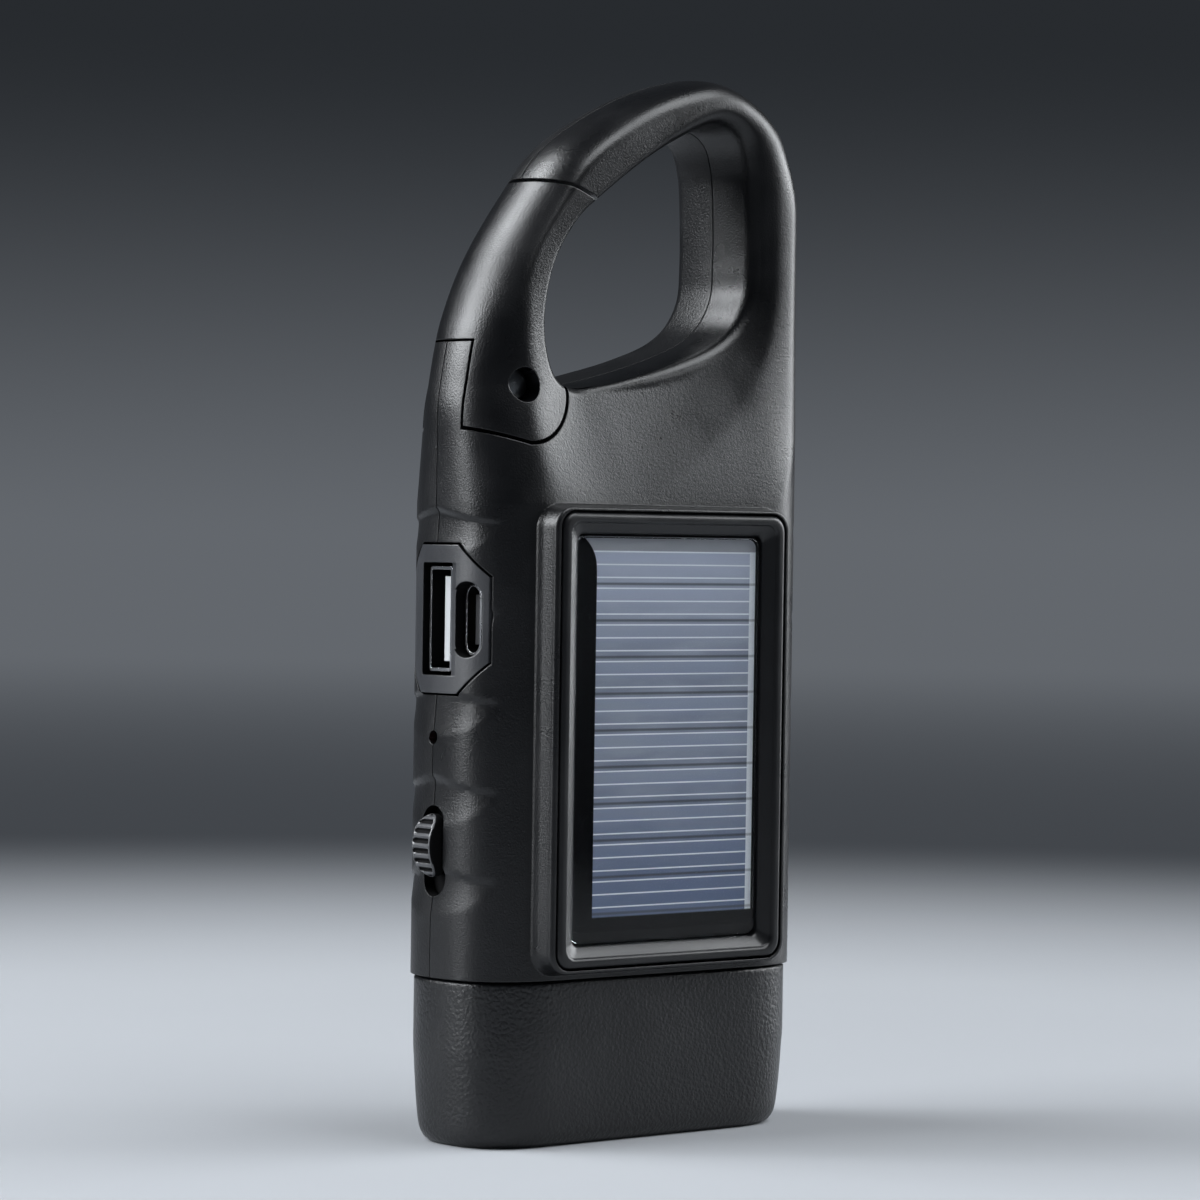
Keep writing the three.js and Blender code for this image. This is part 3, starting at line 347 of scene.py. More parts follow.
def bevel(piece: Solid, width: float, angle: float = 40.0, steps: int = 3) -> None:
    """Rounds a clean piece's sharp edges with a live modifier."""
    step = piece.modifiers.new("round", "BEVEL")
    step.width = width * MM
    step.segments = steps
    step.limit_method = "ANGLE"
    step.angle_limit = np.radians(angle)
    step.harden_normals = True


def settle(
    piece: Solid, body: str, nodes: list[str], finish: Finish | ClearFinish | CellFinish,
    sharp: float = 32.0,
) -> None:
    """Gives a finished piece its shading, material, body and replaced nodes, and reports it.

    Args:
        piece: the object.
        body: the body that it rides on.
        nodes: CAD nodes that it stands for.
        finish: its finish.
        sharp: edges stay sharp over this angle in degrees, or 0 for flat faces.
    """
    if sharp:
        piece.data.shade_smooth()
        piece.data.set_sharp_from_angle(angle=np.radians(sharp))
    piece.data.materials.clear()
    piece.data.materials.append(finish.build())
    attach(piece, body)
    if nodes:
        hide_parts(*nodes)
    log.info("%s: %d faces, on %s", piece.name, len(piece.data.polygons), body)


def paint(piece: Solid, finish: Finish, chosen: Callable[[Points, Points], Points]) -> None:
    """Gives some faces of a piece a second finish.

    Args:
        piece: a settled piece.
        finish: the second finish.
        chosen: takes the faces' middles in body millimetres and their normals, and gives a mask.
    """
    count = len(piece.data.polygons)
    middle, normal = np.empty(count * 3), np.empty(count * 3)
    piece.data.polygons.foreach_get("center", middle)
    piece.data.polygons.foreach_get("normal", normal)
    mask = chosen(middle.reshape(-1, 3) / MM - PLACE.shift, normal.reshape(-1, 3))
    if not mask.any():
        raise RuntimeError(f"{piece.name}: no face to paint")
    piece.data.materials.append(finish.build())
    piece.data.polygons.foreach_set("material_index", mask.astype(np.int32))


# Finishes


class Nodes:
    """A short way to add and link shader nodes in one tree."""

    def __init__(self, tree: Tree) -> None:
        """Keeps the tree that the nodes go into."""
        self.tree = tree

    def add(self, kind: str, **values: object) -> bpy.types.Node:
        """Adds a node; a value named after an input sets its socket, any other sets a property."""
        node = self.tree.nodes.new(kind)
        for name, value in values.items():
            if hasattr(node, name):
                setattr(node, name, value)
            else:
                node.inputs[name.replace("_", " ").title()].default_value = value
        return node

    def link(self, source: Socket, target: Socket) -> None:
        """Joins an output to an input."""
        self.tree.links.new(source, target)

    def feed(self, value: object, target: Socket) -> None:
        """Joins an output to an input, or sets the input to a number or a colour."""
        if isinstance(value, Socket):
            self.link(value, target)
        elif isinstance(value, tuple):
            target.default_value = (*value, 1.0)
        elif value is not None:
            target.default_value = float(value)

    def math(self, operation: str, a: object, b: object = None) -> Socket:
        """A math node on sockets or numbers, and its output."""
        node = self.tree.nodes.new("ShaderNodeMath")
        node.operation = operation
        self.feed(a, node.inputs[0])
        self.feed(b, node.inputs[1])
        return node.outputs[0]

    def rest(self, share: Socket) -> Socket:
        """1 less a share."""
        return self.math("SUBTRACT", 1.0, share)

    def ramp(self, value: Socket, low: float, high: float) -> Socket:
        """A smooth 0 to 1 step between two values."""
        node = self.tree.nodes.new("ShaderNodeMapRange")
        node.interpolation_type = "SMOOTHSTEP"
        node.inputs["From Min"].default_value = low
        node.inputs["From Max"].default_value = high
        self.link(value, node.inputs["Value"])
        return node.outputs["Result"]

    def mix(self, share: Socket, first: object, second: object) -> Socket:
        """A colour mix of two colours or sockets by a share."""
        node = self.tree.nodes.new("ShaderNodeMix")
        node.data_type = "RGBA"
        self.link(share, node.inputs[0])
        self.feed(first, node.inputs[6])
        self.feed(second, node.inputs[7])
        return node.outputs[2]

    def spot(self) -> Socket:
        """The place in Object coordinates."""
        return self.add("ShaderNodeTexCoord").outputs["Object"]

    def noise(self, spot: Socket, scale: object, detail: float = 2.0, **values: object) -> Socket:
        """A noise at a scale, and its value."""
        node = self.add("ShaderNodeTexNoise", detail=detail, **values)
        self.link(spot, node.inputs["Vector"])
        self.feed(scale, node.inputs["Scale"])
        return node.outputs[0]

    def stretched(self, spot: Socket, by: Triple) -> Socket:
        """The place, with what reads it drawn out along the axes."""
        node = self.add("ShaderNodeMapping", vector_type="TEXTURE")
        node.inputs["Scale"].default_value = by
        self.link(spot, node.inputs["Vector"])
        return node.outputs[0]

    def group(self, tree: Tree, **values: float) -> bpy.types.Node:
        """A shared group, with its inputs set by name."""
        node = self.add("ShaderNodeGroup")
        node.node_tree = tree
        for name, value in values.items():
            node.inputs[name].default_value = value
        return node


def new_group(name: str, inputs: dict[str, float], outputs: dict[str, str]) -> Tree:
    """An empty node group with float inputs and typed outputs."""
    tree = bpy.data.node_groups.new(name, "ShaderNodeTree")
    for label, value in inputs.items():
        socket = tree.interface.new_socket(name=label, in_out="INPUT", socket_type="NodeSocketFloat")
        socket.default_value = value
    for label, kind in outputs.items():
        tree.interface.new_socket(name=label, in_out="OUTPUT", socket_type=kind)
    return tree


@dataclass(frozen=True)
class Relief:
    """A relief of the surface, as a bump on an edge that the shader rounds.

    Size, depth and edge radius are the group's defaults in millimetres. Rays is the number of rays
    that round the edge.
    """

    name: str
    size: float
    depth: float
    edge: float
    heights: Callable[[Nodes, Socket, Socket], tuple[Socket, Socket]]
    rays: int = 6

    def build(self) -> Tree:
        """Makes the group once.

        Returns:
            A group with Size, Depth and Edge in metres, that puts out Normal and a Mask.
        """
        if self.name in bpy.data.node_groups:
            return bpy.data.node_groups[self.name]
        tree = new_group(
            self.name,
            {"Size": self.size * MM, "Depth": self.depth * MM, "Edge": self.edge * MM},
            {"Normal": "NodeSocketVector", "Mask": "NodeSocketFloat"},
        )
        n = Nodes(tree)
        given, out = n.add("NodeGroupInput"), n.add("NodeGroupOutput")
        height, mask = self.heights(n, n.spot(), given.outputs["Size"])
        edge = n.add("ShaderNodeBevel")
        edge.samples = self.rays
        n.link(given.outputs["Edge"], edge.inputs["Radius"])
        bump = n.add("ShaderNodeBump", strength=1.0)
        n.link(given.outputs["Depth"], bump.inputs["Distance"])
        n.link(height, bump.inputs["Height"])
        n.link(edge.outputs[0], bump.inputs["Normal"])
        n.link(bump.outputs[0], out.inputs["Normal"])
        n.link(mask, out.inputs["Mask"])
        return tree


def mould_grain(n: Nodes, spot: Socket, size: Socket) -> tuple[Socket, Socket]:
    """Spark-eroded grain: fine noise over a coarser one.

    Args:
        n: the group's nodes.
        spot: the place in Object coordinates.
        size: the grain's size in metres.

    Returns:
        The heights and the mask, which is the fine noise.
    """
    scale = n.math("DIVIDE", 1.0, size)
    fine = n.noise(spot, scale, roughness=0.6)
    coarse = n.noise(spot, n.math("MULTIPLY", scale, 0.35), 1.0)
    return n.math("ADD", fine, n.math("MULTIPLY", coarse, 0.25)), fine


def leather_grain(n: Nodes, spot: Socket, size: Socket) -> tuple[Socket, Socket]:
    """Leather grain: cells drawn out by noise, with valleys between them.

    Args:
        n: the group's nodes.
        spot: the place in Object coordinates.
        size: a cell's size in metres.

    Returns:
        The heights and the mask, which is full in the valleys.
    """
    scale = n.math("DIVIDE", 1.0, size)
    bend = n.add("ShaderNodeTexNoise", detail=2.0)
    n.link(spot, bend.inputs["Vector"])
    n.link(n.math("MULTIPLY", scale, 0.8), bend.inputs["Scale"])
    shift = n.add("ShaderNodeVectorMath", operation="SCALE")
    n.link(bend.outputs["Color"], shift.inputs[0])
    n.link(n.math("MULTIPLY", size, 1.1), shift.inputs["Scale"])
    moved = n.add("ShaderNodeVectorMath", operation="ADD")
    n.link(spot, moved.inputs[0])
    n.link(shift.outputs[0], moved.inputs[1])
    cells = n.add("ShaderNodeTexVoronoi", feature="SMOOTH_F1", smoothness=0.35)
    n.link(moved.outputs[0], cells.inputs["Vector"])
    n.link(scale, cells.inputs["Scale"])
    fine = n.noise(spot, n.math("MULTIPLY", scale, 2.6))
    rise = n.rest(cells.outputs["Distance"])
    return (
        n.math("ADD", rise, n.math("MULTIPLY", fine, 0.35)),
        n.ramp(cells.outputs["Distance"], 0.2, 0.75),
    )


def drawn_metal(n: Nodes, spot: Socket, size: Socket) -> tuple[Socket, Socket]:
    """Drawn or turned metal: noise stretched along Z, which is also the mask."""
    fine = n.noise(n.stretched(spot, (1.0, 1.0, 14.0)), n.math("DIVIDE", 1.0, size))
    return fine, fine


def handling() -> Tree:
    """Slow variation from handling and dust: a soft noise, more at a share of places.

    Returns:
        A group with Size in metres that puts out a Mask.
    """
    name = "handling"
    if name in bpy.data.node_groups:
        return bpy.data.node_groups[name]
    tree = new_group(name, {"Size": 12 * MM}, {"Mask": "NodeSocketFloat"})
    n = Nodes(tree)
    given, out = n.add("NodeGroupInput"), n.add("NodeGroupOutput")
    cloud = n.noise(n.spot(), n.math("DIVIDE", 1.0, given.outputs["Size"]), 4.0, roughness=0.6)
    n.link(n.ramp(cloud, 0.35, 0.7), out.inputs["Mask"])
    return tree


class Grain(Enum):
    """Surface texture of a moulded or worked finish."""

    FINE = Relief("mould grain", 0.4, 0.02, 0.2, mould_grain)
    LEATHER = Relief("leather grain", 0.8, 0.05, 0.3, leather_grain)
    DRAWN = Relief("drawn metal", 0.2, 0.004, 0.1, drawn_metal, rays=4)


def new_material(name: str) -> tuple[Material, Nodes, bpy.types.Node]:
    """An empty node material, its tree and its Principled shader."""
    made = bpy.data.materials.new(name)
    made.use_nodes = True
    return made, Nodes(made.node_tree), made.node_tree.nodes["Principled BSDF"]


@dataclass(frozen=True)
class Finish:
    """A moulded, cast, drawn or painted surface.

    Colours are linear. Worn is the colour where the grain or handling is at its lightest. Size,
    depth and edge radius of the grain are in millimetres.
    """

    name: str
    colour: Colour
    worn: Colour
    roughness: float
    spread: float = 0.08
    metallic: float = 0.0
    grain: Grain = Grain.FINE
    size: float = 0.4
    depth: float = 0.02
    edge: float = 0.2
    coat: float = 0.0
    shine: float = 0.5

    def build(self) -> Material:
        """Makes the material once.

        Returns:
            The material of this name.
        """
        if self.name in bpy.data.materials:
            return bpy.data.materials[self.name]
        made, n, shader = new_material(self.name)
        shader.inputs["Metallic"].default_value = self.metallic
        shader.inputs["Coat Weight"].default_value = self.coat
        shader.inputs["Specular IOR Level"].default_value = self.shine
        relief = n.group(
            self.grain.value.build(), Size=self.size * MM, Depth=self.depth * MM, Edge=self.edge * MM
        )
        n.link(relief.outputs["Normal"], shader.inputs["Normal"])
        wear = n.group(handling()).outputs["Mask"]
        share = n.math("MULTIPLY", relief.outputs["Mask"], wear)
        n.link(n.mix(share, self.colour, self.worn), shader.inputs["Base Color"])
        rough = n.math("MULTIPLY", wear, self.spread)
        n.link(n.math("ADD", rough, self.roughness - self.spread / 2), shader.inputs["Roughness"])
        return made


@dataclass(frozen=True)
class ClearFinish:
    """Clear plastic or glass, with a tint and a little haze."""

    name: str
    tint: Colour = (0.92, 0.95, 0.98)
    roughness: float = 0.03
    haze: float = 0.03
    ior: float = 1.49

    def build(self) -> Material:
        """Makes the material once."""
        if self.name in bpy.data.materials:
            return bpy.data.materials[self.name]
        made, n, shader = new_material(self.name)
        shader.inputs["Transmission Weight"].default_value = 1.0
        shader.inputs["IOR"].default_value = self.ior
        shader.inputs["Base Color"].default_value = (*self.tint, 1.0)
        haze = n.math("MULTIPLY", n.group(handling()).outputs["Mask"], self.haze)
        n.link(n.math("ADD", haze, self.roughness), shader.inputs["Roughness"])
        return made


class Palette:
    """The finishes of this object, by the record's slots."""

    shell = Finish(
        "shell plastic", (0.0024, 0.0026, 0.0032), (0.0055, 0.0058, 0.0068), 0.31,
        size=0.24, depth=0.038, shine=0.43,
    )
    rear = Finish(
        "rear shell plastic", (0.0022, 0.0024, 0.003), (0.006, 0.0063, 0.0073), 0.38,
        size=0.3, depth=0.055, shine=0.36,
    )
    bezel = Finish(
        "bezel plastic", (0.0036, 0.0039, 0.0048), (0.0064, 0.0068, 0.008), 0.36,
        size=0.25, depth=0.012, shine=0.42,
    )
    head = Finish(
        "head plastic", (0.0024, 0.0026, 0.0032), (0.006, 0.0063, 0.0073), 0.36,
        grain=Grain.LEATHER, size=0.5, depth=0.055, edge=0.35, shine=0.45,
    )
    trim = Finish(
        "trim plastic", (0.008, 0.008, 0.009), (0.014, 0.014, 0.016), 0.42, size=0.22, depth=0.012
    )
    button = Finish(
        "button plastic", (0.04, 0.041, 0.045), (0.062, 0.063, 0.068), 0.36,
        size=0.2, depth=0.012, shine=0.8,
    )
    plate = Finish(
        "plate plastic", (0.020, 0.021, 0.024), (0.033, 0.034, 0.038), 0.36,
        size=0.22, depth=0.026, shine=0.6,
    )
    steel = Finish(
        "bright steel", (0.55, 0.56, 0.58), (0.68, 0.68, 0.70), 0.24,
        metallic=1.0, grain=Grain.DRAWN, size=0.15, depth=0.003, edge=0.12,
    )
    dark_steel = Finish(
        "dark steel", (0.20, 0.21, 0.22), (0.30, 0.31, 0.32), 0.34,
        metallic=1.0, grain=Grain.DRAWN, size=0.2, depth=0.004, edge=0.12,
    )
    copper = Finish(
        "copper wire", (0.62, 0.27, 0.13), (0.72, 0.36, 0.2), 0.32,
        metallic=1.0, grain=Grain.DRAWN, size=0.3, depth=0.05, edge=0.1,
    )
    white = Finish(
        "white plastic", (0.36, 0.37, 0.38), (0.41, 0.42, 0.43), 0.45, size=0.3, depth=0.006
    )
    nylon = Finish("nylon", (0.62, 0.6, 0.52), (0.7, 0.68, 0.6), 0.45, size=0.3, depth=0.008)
    board = Finish(
        "board", (0.012, 0.085, 0.038), (0.02, 0.12, 0.055), 0.35, size=0.9, depth=0.01, coat=0.4
    )
    film = Finish(
        "battery film", (0.16, 0.17, 0.19), (0.22, 0.23, 0.25), 0.3, size=2.5, depth=0.03, coat=0.3
    )
    mirror = Finish(
        "mirror", (0.80, 0.81, 0.83), (0.86, 0.86, 0.88), 0.09, spread=0.03,
        metallic=1.0, depth=0.001, edge=0.1,
    )
    red = Finish(
        "red lamp", (0.09, 0.006, 0.006), (0.14, 0.01, 0.01), 0.12, size=0.3, depth=0.002, coat=0.6
    )
    gold = Finish(
        "gold contacts", (0.75, 0.52, 0.2), (0.82, 0.6, 0.28), 0.25,
        metallic=1.0, grain=Grain.DRAWN, size=0.15, depth=0.002, edge=0.04,
    )
    # Painted shade: a near-black dull finish put where shade falls, on slot walls, socket mouths and
    # insides, the button's hidden faces and the switch housing.
    deep = Finish(
        "deep black", (0.0015, 0.0015, 0.002), (0.003, 0.003, 0.003), 0.75,
        size=0.3, depth=0.004, shine=0.1,
    )
    bed = Finish(
        "black board", (0.0015, 0.0015, 0.002), (0.0025, 0.0025, 0.003), 0.6,
        size=0.6, depth=0.001, shine=0.1,
    )
    clear = ClearFinish("clear plastic", ior=1.25)

    slots: dict[str, Finish | ClearFinish] = {
        "shell_black": shell, "head_black": head, "bezel_black": bezel, "trim_black": trim,
        "steel": steel, "dark_steel": dark_steel, "copper": copper, "white_plastic": white,
        "nylon": nylon, "board_green": board, "cell_grey": film, "clear": clear, "mirror": mirror,
        "battery_film": film, "lamp_red": red,
    }
    # The switch housing, down in the slot, takes the painted-shade black.
    nodes: dict[str, Finish] = {"solar_board": bed, "switch_housing": deep}


def dress_nodes(frame: dict) -> None:
    """Gives every CAD node its own finish or that of its slot."""
    for part in frame["record"]["subparts"]:
        name = part["node"]
        node = frame["nodes"].get(name)
        if node is None:
            continue
        finish = Palette.nodes.get(name, Palette.slots[part["material_slot"]])
        node.data.materials.clear()
        node.data.materials.append(finish.build())


# Camera, light and floor


@dataclass(frozen=True)
class Lamp:
    """A soft box: its place and size in metres, and its power in watts."""

    name: str
    place: Triple
    size: Pair
    power: float


@dataclass
class Stage:
    """The photograph's view, a pale floor and soft light.

    Azimuth is in degrees; rise and roll are in radians; distance, target and the floor are in
    millimetres; focal, side shift and picture are in pixels. The floor takes the surround's tone
    over the melt distances and clears up over the next ones, both in metres.
    """

    azimuth: float = -40.0
    rise: float = 0.014
    roll: float = 0.015
    distance: float = 547.9
    target: float = 68.3
    focal: float = 4249.0
    side_shift: float = 5.0
    picture: float = 1200.0
    sensor: float = 36.0
    floor_half: float = 9000.0
    floor_thick: float = 20.0
    floor_drop: float = 0.02
    floor_wear: float = 0.3
    floor_tone: tuple[Colour, Colour] = ((0.27, 0.281, 0.298), (0.282, 0.293, 0.31))
    surround: Colour = (0.125, 0.136, 0.152)
    above: Colour = (0.021, 0.024, 0.028)
    low: Colour = (0.055, 0.061, 0.070)
    fill: Colour = (0.20, 0.208, 0.22)
    cool: Colour = (0.94, 0.97, 1.0)
    melt: Pair = (0.17, 0.55)
    clear_up: Pair = (0.5, 2.2)
    dusk: Pair = (0.0, 0.12)
    dusk_power: float = 0.7
    lamps: tuple[Lamp, ...] = (
        Lamp("left box", (-0.76, 0.36, 0.52), (0.58, 0.46), 13.0),
        Lamp("high box", (-0.42, 0.46, 0.90), (0.36, 0.38), 7.5),
        Lamp("right box", (0.91, -0.43, 0.51), (0.6, 0.5), 9.0),
        Lamp("left strip", (-0.95, 0.21, 0.15), (0.18, 0.28), 1.4),
        Lamp("right strip", (0.95, -0.12, 0.19), (0.24, 0.38), 2.3),
        Lamp("front box", (0.30, -0.50, 1.15), (0.9, 0.7), 12.0),
    )

    def camera(self) -> None:
        """Looks at the body's axis from the photograph's side.

        The camera's back direction is (sin a cos e, -cos a cos e, sin e); its right and up are
        turned by the roll.
        """
        a, e, r = np.radians(self.azimuth), self.rise, self.roll
        back = np.array([np.sin(a) * np.cos(e), -np.cos(a) * np.cos(e), np.sin(e)])
        right = np.cross(-back, [0.0, 0.0, 1.0])
        right /= np.linalg.norm(right)
        up = np.cross(right, -back)
        across = np.cos(r) * right + np.sin(r) * up
        over = -np.sin(r) * right + np.cos(r) * up
        where = PLACE.metres(np.array([0.0, 0.0, self.target]) + back * self.distance)
        lens = bpy.data.cameras.new("camera")
        lens.sensor_fit = "HORIZONTAL"
        lens.sensor_width = self.sensor
        lens.lens = self.focal / self.picture * self.sensor
        lens.shift_x = -self.side_shift / self.picture
        lens.clip_start = 0.01
        eye = bpy.data.objects.new("camera", lens)
        turn = Matrix([across, over, back]).transposed().to_4x4()
        eye.matrix_world = Matrix.Translation(Vector(where)) @ turn
        bpy.context.scene.collection.objects.link(eye)
        bpy.context.scene.camera = eye

    def hang(self, lamp: Lamp) -> None:
        """Hangs a soft box so that it looks at the middle of the object."""
        light = bpy.data.lights.new(lamp.name, "AREA")
        light.shape = "RECTANGLE"
        light.size, light.size_y = lamp.size
        light.energy = lamp.power
        light.color = self.cool
        made = bpy.data.objects.new(lamp.name, light)
        made.visible_camera = False
        aim = Vector((0.0, 0.0, self.target * MM)) - Vector(lamp.place)
        turn = aim.to_track_quat("-Z", "Y").to_matrix().to_4x4()
        made.matrix_world = Matrix.Translation(lamp.place) @ turn
        bpy.context.scene.collection.objects.link(made)

    def seen(self, n: Nodes) -> Socket:
        """1 for camera, glossy and transmission rays."""
        path = n.add("ShaderNodeLightPath")
        look = n.math("MAXIMUM", path.outputs["Is Camera Ray"], path.outputs["Is Glossy Ray"])
        return n.math("MAXIMUM", look, path.outputs["Is Transmission Ray"])

    def floor(self) -> None:
        """A wide level sheet on the ground that melts into the surround's tone far away."""
        turn = self.floor_half * np.array([[-1, -1], [1, -1], [1, 1], [-1, 1]])
        made = prism("floor", turn, -self.floor_thick, -self.floor_drop, axis=2)
        look, n, shader = new_material("floor")
        wear = n.group(handling(), Size=self.floor_wear)
        n.link(n.mix(wear.outputs["Mask"], *self.floor_tone), shader.inputs["Base Color"])
        shader.inputs["Roughness"].default_value = 0.7
        length = n.add("ShaderNodeVectorMath", operation="LENGTH")
        n.link(n.spot(), length.inputs[0])
        far = length.outputs["Value"]
        glow = n.add("ShaderNodeEmission")
        n.link(n.mix(n.ramp(far, *self.clear_up), self.low, self.surround), glow.inputs["Color"])
        both = n.add("ShaderNodeMixShader")
        n.link(n.math("MULTIPLY", n.ramp(far, *self.melt), self.seen(n)), both.inputs[0])
        n.link(shader.outputs[0], both.inputs[1])
        n.link(glow.outputs[0], both.inputs[2])
        n.link(both.outputs[0], look.node_tree.nodes["Material Output"].inputs["Surface"])
        made.data.materials.append(look)

    def world(self) -> None:
        """A grey surround that darkens upwards where it is seen, and is even as a light."""
        world = bpy.data.worlds.new("surround")
        bpy.context.scene.world = world
        world.use_nodes = True
        n = Nodes(world.node_tree)
        where = n.add("ShaderNodeSeparateXYZ")
        n.link(n.add("ShaderNodeTexCoord").outputs["Generated"], where.inputs[0])
        rise = n.math("POWER", n.ramp(where.outputs[2], *self.dusk), self.dusk_power)
        look = n.mix(rise, self.surround, self.above)
        back = world.node_tree.nodes["Background"]
        n.link(n.mix(self.seen(n), self.fill, look), back.inputs["Color"])

    def build(self) -> None:
        """Makes the camera, the lamps, the surround and the floor."""
        bpy.context.scene.view_settings.view_transform = "Standard"
        self.camera()
        for lamp in self.lamps:
            self.hang(lamp)
        self.world()
        self.floor()


# Shell


def spline(shares: Points, steps: int) -> Points:
    """A centripetal Catmull-Rom curve through points.

    Its ends are carried on straight, or round where the last point is the first again. Between two
    points the tangents come from the square roots of the spans, and a cubic joins them.

    Args:
        shares: the points (n, 2).
        steps: steps a span.

    Returns:
        The curve's points, (n - 1) * steps + 1 of them.
    """
    closed = np.allclose(shares[0], shares[-1])
    before = shares[-2] if closed else 2 * shares[0] - shares[1]
    after = shares[1] if closed else 2 * shares[-1] - shares[-2]
    p = np.concatenate([[before], shares, [after]])
    span = np.sqrt(np.linalg.norm(np.diff(p, axis=0), axis=1))[:, None]
    d0, d1, d2 = span[:-2], span[1:-1], span[2:]
    p0, p1, p2, p3 = p[:-3], p[1:-2], p[2:-1], p[3:]
    t1 = ((p1 - p0) / d0 - (p2 - p0) / (d0 + d1) + (p2 - p1) / d1) * d1
    t2 = ((p2 - p1) / d1 - (p3 - p1) / (d1 + d2) + (p3 - p2) / d2) * d1
    s = (np.arange(steps) / steps)[None, :, None]
    p1, p2, t1, t2 = (v[:, None, :] for v in (p1, p2, t1, t2))
    cubic = p1 + t1 * s + (3 * (p2 - p1) - 2 * t1 - t2) * s**2 + (2 * (p1 - p2) + t1 + t2) * s**3
    return np.concatenate([cubic.reshape(-1, 2), shares[-1:]])


def to_line(points: Points, line: Points) -> Points:
    """Least distance from each point to a line of straight pieces."""
    start, run = line[:-1], np.diff(line, axis=0)
    length = np.maximum((run**2).sum(1), 1e-12)
    flat = points.reshape(-1, 2)
    near = []
    for part in np.array_split(flat, max(1, len(flat) // 4000)):
        off = part[:, None, :] - start[None]
        share = np.clip((off * run).sum(2) / length, 0, 1)
        near.append(np.linalg.norm(off - share[..., None] * run, axis=2).min(1))
    return np.concatenate(near).reshape(points.shape[:-1])


def soft_least(a: Points, b: Points, blend: Points) -> Points:
    """The lesser of two heights, rounded over where they are closer than blend."""
    near = np.maximum(blend - np.abs(a - b), 0) / blend
    return np.minimum(a, b) - near**2 * blend / 4


def soft_step(value: Points) -> Points:
    """0 below 0 and 1 above 1, and the cubic 3v^2 - 2v^3 between."""
    share = np.clip(value, 0, 1)
    return share * share * (3 - 2 * share)


